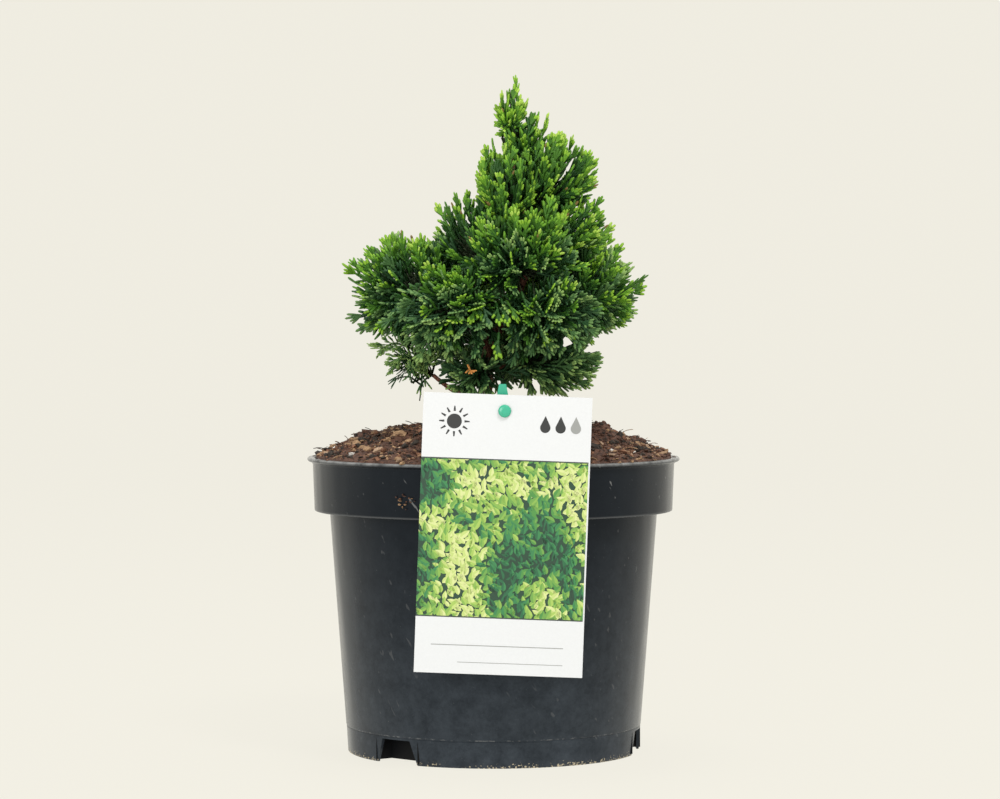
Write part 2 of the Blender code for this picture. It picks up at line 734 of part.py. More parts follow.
def core_solid(space, rng):
    """A rough core for a dense mass, drawn in wherever a limb passes."""
    shape = bmesh.new()
    bmesh.ops.create_icosphere(shape, subdivisions=2, radius=1)
    ways = [point.co.normalized() for point in shape.verts]
    faces = [tuple(point.index for point in face.verts) for face in shape.faces]
    shape.free()
    rooms = []
    for way in ways:
        open_room = space.open_room(way) * CORE_OPEN_SHARE * rng.uniform(1 - CORE_ROUGHNESS, 1)
        rooms.append(min(open_room, space.room(space.centre, way, avoid_limbs=True) * CORE_WALL_SHARE))
    for _ in range(CORE_TRIES):
        points = [space.centre + way * room for way, room in zip(ways, rooms)]
        touching = set()
        for face in faces:
            probes = face_probes(*(points[index] for index in face))
            if not all(space.misses_limbs(p) for p in probes):
                touching.update(face)
        if not touching:
            return points, faces
        for index in touching:
            rooms[index] *= CORE_SHRINK
    return None


def stem_of(lobe, bough, space):
    """The mass's own stem: from a hair past its bough's tip, through the middle of its space."""
    if bough is None:
        tip = trunk_point(1)
        way = (tip - trunk_point(TRUNK_TIP_SHARE)).normalized()
    else:
        tip = bough.path[-1]
        way = (tip - bough.path[-2]).normalized()
    root = tip + way * GAP
    onward = (space.centre - root).normalized()
    last = (onward + UP * lobe.lift).normalized()
    end = space.centre + last * space.room(space.centre, last) * lobe.habit.stem_reach
    middle = root.lerp(space.centre, STEM_MIDDLE) + way * STEM_LEAD
    return [root, middle, end]


def twig_way(lobe, stem, share, turn):
    """The way a twig grows at this share of the stem, turned this far round it."""
    axis = (stem[-1] - stem[0]).normalized()
    side_way = axis.orthogonal().normalized()
    other_way = axis.cross(side_way)
    habit = lobe.habit
    angle = habit.first_angle + (habit.last_angle - habit.first_angle) * share
    out = side_way * math.cos(turn) + other_way * math.sin(turn)
    way = axis * math.cos(angle) + out * math.sin(angle)
    return (way + UP * lobe.lift * TWIG_LIFT).normalized()


def flat_way(way, roll):
    """Across a fan that grows along way: level, then rolled about it."""
    across = way.cross(UP)
    if across.length < LEVEL_ENOUGH:
        across = way.cross(Vector((0, 1, 0)))
    return (Matrix.Rotation(roll, 4, way) @ across).normalized()


def make_mass(lobe, bough, limbs):
    """One mass of foliage: a stem, twigs set round it by the golden angle, and a fan on each twig."""
    rng = random.Random(lobe.name)
    space = Space(lobe, limbs)
    habit = lobe.habit
    stem = stem_of(lobe, bough, space)
    start_radius = bough.radii[-1] if bough else TRUNK_TIP_RADIUS
    radii = [start_radius, STEM_MIDDLE_RADIUS, STEM_END_RADIUS]
    pieces = [tube("stem", stem, radii, STEM_SIDES, "foliage")]
    core = core_solid(space, rng) if habit.core else None
    if core:
        pieces.append(new_object("core", *core, "foliage"))
    for index in range(lobe.twigs):
        share = (index + 0.5) / lobe.twigs
        start = smooth_point(stem, FIRST_TWIG + TWIG_SPAN * share)
        turn = index * GOLDEN_ANGLE + rng.uniform(-TWIG_TURN_SPREAD, TWIG_TURN_SPREAD)
        way = twig_way(lobe, stem, share, turn)
        width_way = flat_way(way, rng.uniform(-FAN_ROLL, FAN_ROLL))
        fan = grow_fan(space, start, way, width_way, habit.fan_width) if space.is_open(way) else None
        if not fan:
            continue
        root, length = fan
        solid = fan_solid(root, way, width_way, length, habit.fan_width)
        pieces.append(new_object("fan", *solid, "foliage", False))
        if (root - start).length > TWIG_RADIUS:
            end = root + way * TWIG_SINK
            pieces.append(rod("twig", start, end, TWIG_RADIUS, TWIG_TIP_RADIUS, TWIG_SIDES, "foliage"))
    return fuse("mass_" + lobe.name, pieces)


def grow_fan(space, start, way, width_way, width):
    """The root and length of the longest fan that fits at the far end of a twig, or None."""
    room = space.room(start, way)
    while room > SHORTEST_FAN:
        length = min(FAN_LENGTH, room)
        while length >= SHORTEST_FAN:
            root = start + way * (room - length)
            if fan_fits(space, root, way, width_way, length, width) and twig_fits(space, start, root):
                return root, length
            length -= FAN_STEP
        room -= TWIG_STEP
    return None


def main():
    clear_scene()
    make_pot()
    make_soil(pick_plate("pick_slot", GAP, "soil"))
    make_card()
    make_pick()
    make_trunk()
    boughs = {lobe.name: bough_of(lobe) for lobe in LOBES if lobe.leaves_at}
    for bough in boughs.values():
        make_bough(bough)
    limbs = limb_segments(boughs.values())
    for lobe in LOBES:
        make_mass(lobe, boughs.get(lobe.name), limbs)


main()
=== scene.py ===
"""Looks of the dwarf hinoki cypress in its nursery pot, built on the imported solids.

Metres, +Z up. The pot stands on z = 0 with its axis on the Z axis, and the label hangs on the -Y side.
The plant grows by the same rule as the solids do, carried on to finer twigs, sprays and fingers.
"""

import json
import math
import random
from collections import namedtuple

import bmesh
import bpy
import numpy as np
from mathutils import Matrix, Vector, noise

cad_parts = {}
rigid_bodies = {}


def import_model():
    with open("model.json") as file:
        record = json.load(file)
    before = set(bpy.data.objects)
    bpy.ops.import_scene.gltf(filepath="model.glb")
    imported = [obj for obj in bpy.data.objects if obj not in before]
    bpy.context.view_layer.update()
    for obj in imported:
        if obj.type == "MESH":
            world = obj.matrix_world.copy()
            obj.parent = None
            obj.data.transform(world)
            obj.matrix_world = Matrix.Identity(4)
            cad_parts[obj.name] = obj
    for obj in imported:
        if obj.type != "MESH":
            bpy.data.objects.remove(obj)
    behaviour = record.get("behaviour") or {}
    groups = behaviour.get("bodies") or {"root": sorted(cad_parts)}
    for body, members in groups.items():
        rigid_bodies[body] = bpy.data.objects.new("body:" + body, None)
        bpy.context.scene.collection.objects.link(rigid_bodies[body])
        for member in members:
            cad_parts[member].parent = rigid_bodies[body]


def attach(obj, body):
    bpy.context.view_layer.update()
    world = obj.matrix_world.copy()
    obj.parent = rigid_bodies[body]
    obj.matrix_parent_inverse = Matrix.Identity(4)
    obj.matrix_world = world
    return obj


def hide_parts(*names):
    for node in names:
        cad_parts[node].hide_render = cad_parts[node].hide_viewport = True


MM = 0.001
UP = np.array((0.0, 0.0, 1.0))
GOLDEN_ANGLE = math.radians(137.5)

# Camera, from the photograph's perspective
IMAGE_WIDTH = 1000
IMAGE_HEIGHT = 799
SENSOR = 36.0
FOCAL_PIXELS = 3390
CAMERA_PLACE = (0, -1.732, 0.230)
HORIZON_PIXEL = 300
AXIS_PIXEL = 493.5

# Stage: a round floor that curves up into a wall all the way round
CREAM = (0.879, 0.855, 0.768)
STAGE_GLOW = 0.945
STAGE_ALBEDO = 0.05
FLOOR_REACH = 3.4
CURVE_RADIUS = 1.4
WALL_TOP = 5.0
STAGE_SIDES = 96
STAGE_INNER_RINGS = (0.02, 1.2)
CURVE_STEPS = 12

# Each light: its name, place, size, watts and colour
LIGHT_TARGET = (0, 0, 0.2)
LIGHTS = [
    ("key", (0.7, -1.1, 1.9), 0.5, 23, (1.0, 0.985, 0.95)),
    ("fill", (-0.9, -1.9, 0.5), 1.0, 14, (1, 1, 1)),
    ("top", (-0.1, 0.35, 1.9), 0.8, 14, (1, 1, 1)),
]
WORLD_LIGHT = 0.6

# Pot
POT_SEGMENTS = 168
WALL = 1.3 * MM
POT_HEIGHT = 150 * MM
LIP_RADIUS = 95 * MM
LIP_DROP = 1.6 * MM
BAND_TOP_RADIUS = 92.3 * MM
BAND_LOW_RADIUS = 91.4 * MM
BAND_LOW_HEIGHT = 122.8 * MM
BODY_TOP_RADIUS = 83.6 * MM
SEAM_RADIUS = 75.4 * MM
SEAM_HEIGHT = 13.4 * MM
SEAM_DEPTH = 0.35 * MM
FOOT_RADIUS = 74.4 * MM
FLOOR_UNDER = 12.6 * MM
NOTCH_ANGLES = [math.radians(a) for a in (-130.5, -10.5, 109.5)]
NOTCH_HALF_WIDTH = 14 * MM
NOTCH_TOP_HALF_WIDTH = 9 * MM
NOTCH_HEIGHT = 12 * MM
DRAIN_HOLES = 6
DRAIN_RADIUS = 5 * MM
DRAIN_RING_RADIUS = 56 * MM
DRAIN_SIDES = 20
SHARP_ANGLE = math.radians(32)
# Pockets behind the notches, put there as painted shade
NOTCH_POCKET_DEPTH = 9 * MM
POCKET_WALL = 0.8 * MM
SPLASH_HEIGHT = 5.5 * MM
POT_BLACK = (0.0060, 0.0078, 0.0112)
# Painted shade: the very dark black inside the notch pockets
POT_NOTCH_SHADE = (0.0025, 0.003, 0.004)
# Dust colour, which also paints the floor's reflection on the lower body
POT_DUST_AND_REFLECTION = (0.054, 0.065, 0.080)
POT_SHEEN = (0.74, 0.87, 1.0)
SCRATCH_SLANT = math.radians(38)
# Pale grey of scuffs, and of the painted highlights on the lip and the band's lower edge
POT_SCUFF_AND_HIGHLIGHT = (0.22, 0.225, 0.23)
DRIED_DIRT = (0.50, 0.43, 0.31)

# Soil
SOIL_TOP = 167 * MM
SOIL_EDGE = 149.6 * MM
SOIL_DOME_POWER = 2.2
SOIL_FLAT_RADIUS = 17 * MM
SOIL_BUMP = 1.5 * MM
SOIL_RADIUS = 90.7 * MM
CRUMBS = 7400
LIP_CRUMBS = 26
BAND_CRUMBS = 16
BAND_CRUMBS_ANGLE = math.radians(-118)
BAND_CRUMBS_HEIGHT = 132 * MM
SOIL_LOOKS = [
    ("peat", (0.022, 0.010, 0.008), (0.150, 0.070, 0.045)),
    ("peat_red", (0.060, 0.022, 0.012), (0.290, 0.140, 0.080)),
    ("coir", (0.16, 0.085, 0.040), (0.48, 0.31, 0.18)),
    ("dark_humus", (0.008, 0.006, 0.005), (0.045, 0.032, 0.024)),
    ("bark_chip", (0.28, 0.17, 0.10), (0.62, 0.46, 0.33)),
    ("perlite", (0.60, 0.57, 0.53), (0.88, 0.86, 0.83)),
]
HUMUS = 3
# Shares of each of them in darker, mixed and paler places
DARK_SOIL = (4, 1, 0.4, 6, 0.2, 0.05)
MIXED_SOIL = (5, 4, 2, 2, 0.5, 0.05)
PALE_SOIL = (1.5, 5, 5, 0.5, 1.2, 0.1)
CRUMB_SHAPES = 24
FIBRES = 860
FIBRE_STEPS = 4
# Sizes of crumbs and fibres, in mm
LARGEST_CRUMB = 2.8
FIBRE_LENGTHS = (2, 9)
FIBRE_WIDTHS = (0.22, 0.5)
ROOT_CLUMP = (56 * MM, -22 * MM)
CLUMP_SPREAD = 9 * MM
CLUMP_RISE = 6.5 * MM
# Lumps of the soil that shows: how many in a metre, and how high
FINE_LUMPS, FINE_LUMP_RISE = 130, 1.5 * MM
BROAD_LUMPS, BROAD_LUMP_RISE = 60, 2.6 * MM
TRUNK_CLEARING = 8 * MM
MOUND_SIDES = 220
MOUND_RINGS = 74

# Label
CARD_WIDTH = 81.6 * MM
CARD_THICKNESS = 0.6 * MM
CARD_CENTRE_X = 4.6 * MM
CARD_CENTRE_Z = 116.4 * MM
CARD_ROLL = math.radians(2.1)
CARD_BACK_Y = -LIP_RADIUS - 0.3 * MM

PRINT_LIFT = 0.03 * MM
PANEL_TOP = 36.0 * MM
PANEL_LOW = -40.0 * MM
PANEL_LINE = 0.6 * MM
PANEL_MARGIN = 0.8 * MM
# Each leaf of the panel lies this share of a layer over the last
LEAF_LAYER = 0.004
CARD_WHITE = (0.70, 0.72, 0.755)
PICK_TEAL = (0.045, 0.42, 0.27)
PANEL_LEAF = 5.2 * MM
LABEL_INKS = [
    ("ink_white", CARD_WHITE),
    ("ink_black", (0.030, 0.032, 0.034)),
    ("ink_line", (0.045, 0.060, 0.055)),
    ("ink_shade", (0.020, 0.060, 0.035)),
    ("ink_deep", (0.022, 0.130, 0.055)),
    ("ink_wood", (0.040, 0.210, 0.075)),
    ("ink_fern", (0.075, 0.260, 0.060)),
    ("ink_grass", (0.150, 0.340, 0.070)),
    ("ink_moss", (0.230, 0.420, 0.080)),
    ("ink_lime", (0.350, 0.520, 0.110)),
    ("ink_pale", (0.500, 0.620, 0.200)),
    ("ink_yellow", (0.620, 0.690, 0.300)),
    ("ink_grey", (0.300, 0.310, 0.310)),
]
# Numbers of some inks. Those from the shade on run from dark to light
BLACK_INK, LINE_INK, SHADE_INK, LAST_LEAF_INK, GREY_INK = 1, 2, 3, 10, 12
CARD_FINISH = 0.32
# The two rules to write on, in mm: left, right, low and high
RULES = [(-33, 31, -54.2, -53.8), (-20, 31, -62.4, -62.1)]
SUN_PLACE = (-25.5 * MM, 54.3 * MM)
SUN_RADIUS = 3.6 * MM
SUN_RAYS = 12
RAY_NEAR, RAY_FAR, RAY_HALF_WIDTH = 4.9 * MM, 7.4 * MM, 0.55 * MM
DROPS = 3
FIRST_DROP, DROP_GAP, DROP_UP, DROP_SIZE = 18.5 * MM, 7.4 * MM, 52.6 * MM, 2.5 * MM

# Trunk and boughs, as in the solids
TRUNK_KNOTS = [
    (-4.5, 0, 167.3), (-3.8, -0.5, 189), (-1.5, -1.5, 207), (12, -3, 233),
    (19, -2.5, 257), (14.5, 0, 284), (9.5, 0, 303),
]
TRUNK_AXIS = np.array(TRUNK_KNOTS) * MM
TRUNK_FOOT_RADIUS = 4.1 * MM
TRUNK_TIP_RADIUS = 1.1 * MM
FLARE_EXTRA = 2.6 * MM
FLARE_HEIGHT = 8 * MM
BOUGH_FOOT_RADIUS = 1.7 * MM
BOUGH_TIP_RADIUS = 1.0 * MM
BOUGH_ENTRY = 0.86
BOUGH_BEND = 0.4
BOUGH_SAG = 0.06
SHORTEST_BOUGH = 4 * MM
TRUNK_TAPER = 0.8
TRUNK_RINGS = 130
TRUNK_RING_BIAS = 1.15
TRUNK_SIDES = 40
BOUGH_RINGS = 22
BOUGH_SIDES = 12
BOUGH_INSET = 0.4
BOUGH_SWELL = 1.35
BOUGH_COLLAR = 0.25
THIN_BOUGH = 0.6
FULL_BOUGH_LENGTH = 60 * MM
TRUNK_PROBE = 0.01

# Bark: its colours, how far it stands out, and how fine its strips and knots are round a limb and along
# each metre of it
BARK_BROWN = (0.16, 0.07, 0.045)
BARK_STOPS = [(0.3, (0.035, 0.014, 0.010)), (0.5, (0.15, 0.060, 0.038)), (0.68, (0.33, 0.17, 0.11))]
BARK_RELIEF = 0.11
BARK_ROUND = 2.2
KNOTS_ALONG = 90
STRIPS_ROUND = 2.4
STRIPS_ALONG = 160

# Foliage
SPACE_SPILL = 1.08
# Sprays for each square of a lobe's mean half size
SPRAYS_PER_AREA = 0.30 / MM**2
LONGEST_SPRAY = 22 * MM
SHORTEST_SPRAY = 8 * MM
SPRAY_SIZES = (11 * MM, 14 * MM, 18 * MM, 22 * MM)
SPRAY_TEMPLATES = 10
SHOOT_GAP = 2.9 * MM
SPRAY_FOOT = 1.5 * MM
LEAN_STEP = 0.08
# How many scales a leaf's bump has in a metre
LEAF_SCALES = 1100
FINGER_WIDTH = 1.65 * MM
FINGER_THICKNESS = 1.15 * MM
LONGEST_FINGER = 7.8 * MM
TWIG_RADIUS = 0.55 * MM
WALL_OVERLAP = 3 * MM
TIP_OVERLAP = 5 * MM
SOIL_CLEARANCE = 1 * MM
# The furthest that a space is measured, in mm
FURTHEST = 60
# Shares of sprays that end inside the lobe and that stray out of it, and how far out these and all the
# others end, as shares of the lobe's size
INNER_SHARE = 0.2
STRAY_SHARE = 0.08
INNER_SPILL = (0.6, 0.85)
STRAY_SPILL = (1.1, 1.24)
OUTER_SPILL = (0.88, 1.04)
# How a spray rolls about its way, in radians, and how much it is cupped and arched
SPRAY_ROLL = 1.4
SPRAY_CUP = (0.1, 0.5)
SPRAY_ARCH = (0.0, 0.22)
FEWEST_RODS = 5
# Shares of the way along a twig to a spray, and of its thickness there
TWIG_STEPS = ((0, 1.1), (0.35, 1.0), (0.7, 0.85), (1, 0.7))
STEM_POINTS = 10
STEM_TIP_RADIUS = 0.5 * MM

# How far the stem goes into the lobe, how broad its sprays are, how thick their fingers, and how many
Habit = namedtuple("Habit", "stem_reach spread stoutness share")
DENSE = Habit(0.35, 0.9, 1.0, 1.0)
UPRIGHT = Habit(0.45, 0.65, 1.0, 1.0)
WISPY = Habit(0.45, 0.8, 0.6, 0.3)

# Each lobe: its space in mm, where its bough leaves the trunk, which way its sprays lean, its habit
# and how much painted light its leaves get: a higher value gives them lighter shades, as if more light fell
# there
Lobe = namedtuple("Lobe", "name centre half_size leaves_at lift lean habit light")
LOBES = [
    Lobe("leader", (9, 0, 324), (8.2, 8.5, 23), None, 0.5, (0.05, 0, 2.0), UPRIGHT, 0.9),
    Lobe("leader_right", (16.5, -1, 311), (12, 11, 18), 288, 0.7, (0.25, 0, 1.7), UPRIGHT, 0.6),
    Lobe("top_right", (32.5, -6, 293.5), (21, 23, 21), 274, 0.3, (0.7, 0, 1.1), UPRIGHT, 0.4),
    Lobe("top_left", (7, -12, 288), (15, 22, 25), 266, 0.3, (0.0, 0, 1.6), UPRIGHT, 0.35),
    Lobe("top_back", (17, 24, 286), (25, 23, 26), 268, 0.3, (0, 0.3, 1.2), UPRIGHT, 0.3),
    Lobe("upper_right", (37, -5, 265), (20.5, 25, 20), 252, 0.2, (0.6, 0, 0.8), UPRIGHT, 0.3),
    Lobe("right_lobe", (45, 0, 234), (27.5, 30, 23), 230, 0.2, (0.35, 0, 0.3), DENSE, 0.35),
    Lobe("left_lobe", (-45, -6, 235.5), (26, 30, 27), 212, 0.2, (-0.4, -0.1, 0.2), DENSE, 0.05),
    Lobe("left_shoulder", (-12, -3, 262), (17, 26, 22), 228, 0.3, (-0.5, 0, 1.1), UPRIGHT, 0.15),
    Lobe("front_centre", (13, -36, 250), (29, 23, 27), 238, 0.1, (0, -0.4, 0.3), DENSE, 0.1),
    Lobe("front_left", (-20, -36, 223), (31, 24, 22), 208, 0.0, (-0.3, -0.5, -0.25), DENSE, 0.35),
    Lobe("front_right", (26, -38, 222), (27, 23, 22), 220, 0.0, (0.2, -0.5, -0.25), DENSE, 0.35),
    Lobe("low_right", (29.5, -5, 200), (24.5, 28, 19), 196, 0.0, (0.6, -0.1, 0.1), DENSE, 1.15),
    Lobe("low_front", (-5, -25, 194), (23, 20, 14), 186, 0.0, (0, -0.4, 0.0), DENSE, 0.5),
    Lobe("back_right", (36, 37, 238), (30, 28, 32), 226, 0.2, (0.2, 0.4, 0.5), DENSE, 0.2),
    Lobe("back_left", (-20, 36, 236.5), (31, 28, 26.5), 216, 0.2, (-0.2, 0.4, 0.6), DENSE, 0.2),
    Lobe("back_low", (2, 36, 205), (34, 27, 20), 200, 0.0, (0, 0.4, 0.0), DENSE, 0.0),
    Lobe("low_left", (-42, -7, 197), (15, 12, 17), 181, 0.5, (-0.3, -0.1, -0.3), WISPY, 0.6),
]

# Places left open, as the camera sees them on the plane of the axis (across, up, radius in mm): the
# trunk and the dark of the crown show through the first ones, and the sky shows right through the rest
TRUNK_WINDOWS = [
    (17.5, 243, 3.4), (15.5, 236.5, 2.8), (-3.2, 200, 2.0), (-2.4, 192, 1.6),
    (-41, 242, 3.6), (-15, 256, 3.6), (-13.5, 212.5, 2.6),
]
SKY_HOLES = [
    (37.3, 208.7, 2.4), (47.3, 204.2, 1.8), (52.8, 205.5, 1.8), (58, 192, 2.6),
    (23.4, 199.8, 1.5), (19, 199.2, 1.2), (21.7, 186.7, 2.0), (-6, 201.4, 1.2),
    (0.1, 193.2, 1.1), (-7.1, 189.8, 1.2), (8.4, 281.8, 1.3), (37.3, 297.3, 1.0),
]

# Leaf colours from the darkest to the freshest, also used as painted shade and light, then the cooler ones
# of low sprays, then the odd ones
LEAF_SHADES = {
    "leaf_dark": (0.011, 0.045, 0.010),
    "leaf_deep": (0.025, 0.088, 0.016),
    "leaf_mid": (0.058, 0.165, 0.019),
    "leaf_light": (0.120, 0.285, 0.022),
    "leaf_bright": (0.220, 0.415, 0.032),
    "leaf_tip": (0.340, 0.520, 0.075),
    "cool_deep": (0.027, 0.080, 0.030),
    "cool_mid": (0.064, 0.148, 0.048),
    "cool_light": (0.125, 0.240, 0.075),
    "cool_tip": (0.235, 0.375, 0.110),
    "leaf_bud": (0.190, 0.130, 0.040),
    "leaf_dead": (0.560, 0.250, 0.070),
}
FRESHEST = 5
# The cooler shade for each of the first six
COOLER = np.array((0, 6, 7, 8, 9, 9))
BUD, DEAD = 10, 11
COOL_BELOW = 205 * MM
WARM_ABOVE = 275 * MM
BUD_SHARE = 0.022
BUDS_ABOVE = 262 * MM
DULL_SHARE = 0.42
VERY_KEEN, KEEN = 0.4, 0.85
CROWN_MIDDLE = 245 * MM
CROWN_HALF_HEIGHT = 90 * MM
# Stems of the lobes are woody, and the twigs that leave them are thin and greenish
WOODY_RADIUS = 0.64 * MM
TWIG_LOOKS = [
    ("twig_wood", (0.030, 0.018, 0.010), (0.105, 0.056, 0.030)),
    ("twig_green", (0.012, 0.020, 0.008), (0.030, 0.048, 0.016)),
]
DEAD_PLACE = np.array((-12.5, -44, 197)) * MM
DEAD_WAY = (0.3, -0.5, -0.6)
DEAD_LENGTH = 8 * MM
WISP_STEPS = 10
WISP_RADII = (0.6 * MM, 0.35 * MM)
WISP_LENGTHS = (5, 8)
WISP_SHADES = (7, 8, 9)
# Thin twigs at the crown's left foot: whether each has sprays, and its course in mm
HANGING_TWIGS = [
    (False, (-31, -5, 192), (-36, -9, 188), (-37.5, -12, 179)),
    (True, (-36, -9, 188), (-40, -11, 195), (-38, -12, 205)),
    (False, (-37, -10, 187), (-43, -12, 191), (-50, -12, 190)),
    (True, (-39, -11, 200), (-45, -12, 202), (-50, -13, 198)),
    (True, (-40, -11, 205), (-50, -12, 208), (-57, -12, 205)),
    (True, (-33, -8, 190), (-35, -11, 194), (-32, -12, 199)),
]

# Sprays that droop out of the front of the crown over its dark hollow: across and up to their tips, and
# their lengths, in mm
FRINGE = [
    (-53, 222, 13), (-46, 220, 12), (-35, 214, 13), (-31, 210, 14), (-23, 206, 12), (-22, 214, 13),
    (-17, 221, 12), (-11, 219, 12), (-6, 221, 11), (-2, 217, 13), (2, 202, 12), (3, 219, 12),
    (8, 219, 13), (12, 220, 11), (19, 223, 12), (22, 219, 13), (26, 209, 14), (30, 217, 12), (41, 211, 14),
]
FRINGE_FRONT = -57
FRINGE_CURVE = 16
FRINGE_BREADTH = 0.62
FRINGE_DARK = 0.62
FRINGE_SHADES = ((1, 4), (1, 3), (2, 4), (6, 8), (7, 8))

# Rods are drawn as rings of four corners: places along the rod and sizes there
RING_PLACES = (0.0, 0.62, 0.9)
RING_SIZES = (0.85, 1.0, 0.8)
TWIG_PLACES = (0.0, 1.0)


# Node helpers

def shader_material(name, colour, roughness, specular=0.5):
    """A Principled material, its tree and its shader."""
    made = bpy.data.materials.new(name)
    made.use_nodes = True
    shader = made.node_tree.nodes["Principled BSDF"]
    shader.inputs["Base Color"].default_value = (*colour, 1)
    shader.inputs["Roughness"].default_value = roughness
    shader.inputs["Specular IOR Level"].default_value = specular
    return made, made.node_tree, shader


def add_node(tree, kind, **settings):
    node = tree.nodes.new(kind)
    for key, value in settings.items():
        setattr(node, key, value)
    return node


def object_coordinates(tree, scale=(1, 1, 1)):
    """The object's own coordinates, stretched by scale."""
    source = add_node(tree, "ShaderNodeTexCoord")
    mapping = add_node(tree, "ShaderNodeMapping")
    mapping.inputs["Scale"].default_value = scale
    tree.links.new(source.outputs["Object"], mapping.inputs["Vector"])
    return mapping.outputs["Vector"]


def noise_value(tree, vector, scale, detail=4, roughness=0.6):
    made = add_node(tree, "ShaderNodeTexNoise")
    made.inputs["Scale"].default_value = scale
    made.inputs["Detail"].default_value = detail
    made.inputs["Roughness"].default_value = roughness
    tree.links.new(vector, made.inputs["Vector"])
    return made.outputs["Fac"]


def colour_ramp(tree, value, stops):
    """A ramp over the value: stops are (place, colour)."""
    ramp = add_node(tree, "ShaderNodeValToRGB")
    elements = ramp.color_ramp.elements
    while len(elements) < len(stops):
        elements.new(0.5)
    for element, (place, colour) in zip(elements, stops):
        element.position = place
        element.color = (*colour, 1)
    tree.links.new(value, ramp.inputs["Fac"])
    return ramp.outputs["Color"]


def mix_colours(tree, factor, first, second, blend="MIX"):
    """Mixes two colours. The factor and the colours are sockets or plain values."""
    node = add_node(tree, "ShaderNodeMix", data_type="RGBA", blend_type=blend)
    for socket, given in ((node.inputs[0], factor), (node.inputs[6], first), (node.inputs[7], second)):
        if isinstance(given, bpy.types.NodeSocket):
            tree.links.new(given, socket)
        elif isinstance(given, tuple):
            socket.default_value = (*given, 1)
        else:
            socket.default_value = given
    return node.outputs[2]


def scalar(tree, operation, first, second):
    node = add_node(tree, "ShaderNodeMath", operation=operation)
    for socket, given in zip(node.inputs, (first, second)):
        if isinstance(given, bpy.types.NodeSocket):
            tree.links.new(given, socket)
        else:
            socket.default_value = given
    return node.outputs[0]


def add_bump(tree, shader, height, strength, distance):
    bump = add_node(tree, "ShaderNodeBump")
    bump.inputs["Strength"].default_value = strength
    bump.inputs["Distance"].default_value = distance
    tree.links.new(height, bump.inputs["Height"])
    tree.links.new(bump.outputs["Normal"], shader.inputs["Normal"])


# Materials

def mottled(tree, shader, value, colour, dark, light):
    """Makes the base colour run from a darker to a lighter shade of the colour with the value."""
    ends = [tuple(min(1, part * share) for part in colour) for share in (dark, light)]
    tree.links.new(mix_colours(tree, value, *ends), shader.inputs["Base Color"])


def leaf_material(name, colour):
    """Scale leaves: slightly uneven green with a faint waxy shine and small scales in the bump."""
    made, tree, shader = shader_material(name, colour, roughness=0.5, specular=0.24)
    vector = object_coordinates(tree)
    cloud = noise_value(tree, vector, scale=240, detail=3)
    mottled(tree, shader, cloud, colour, dark=0.72, light=1.3)
    scales = add_node(tree, "ShaderNodeTexVoronoi")
    scales.inputs["Scale"].default_value = LEAF_SCALES
    tree.links.new(vector, scales.inputs["Vector"])
    add_bump(tree, shader, scales.outputs["Distance"], strength=0.5, distance=0.2 * MM)
    return made


def clouded_material(name, colour, finish, cloud, stops, bump):
    """A material whose colour and bump follow one noise.

    finish is roughness and specular; cloud is the noise's stretch, scale, detail and roughness; stops are
    the colours over it; bump is strength and distance.
    """
    made, tree, shader = shader_material(name, colour, *finish)
    value = noise_value(tree, object_coordinates(tree, cloud[0]), *cloud[1:])
    tree.links.new(colour_ramp(tree, value, stops), shader.inputs["Base Color"])
    add_bump(tree, shader, value, *bump)
    return made


def bark_material():
    """Red-brown bark in thin fibrous strips, paler where they peel."""
    cloud = ((1, 1, 0.16), 900, 6, 0.65)
    return clouded_material("bark", BARK_BROWN, (0.85, 0.25), cloud, BARK_STOPS, (0.8, 0.6 * MM))


def twig_material(name, dark, light):
    stops = [(0.35, dark), (0.65, light)]
    return clouded_material(name, light, (0.75, 0.3), ((1, 1, 1), 500, 4, 0.6), stops, (0.5, 0.3 * MM))


def soil_material(name, dark, light):
    stops = [(0.32, dark), (0.66, light)]
    return clouded_material(name, light, (0.72, 0.4), ((1, 1, 1), 420, 6, 0.7), stops, (0.9, 0.9 * MM))


def ranged(tree, value, start, end, low=0.0, high=1.0):
    """The value's place between start and end, as a number from low to high."""
    node = add_node(tree, "ShaderNodeMapRange", clamp=True)
    for name, given in (("From Min", start), ("From Max", end), ("To Min", low), ("To Max", high)):
        node.inputs[name].default_value = given
    tree.links.new(value, node.inputs["Value"])
    return node.outputs["Result"]


def product(tree, *values):
    """All the values multiplied together."""
    result = values[0]
    for value in values[1:]:
        result = scalar(tree, "MULTIPLY", result, value)
    return result


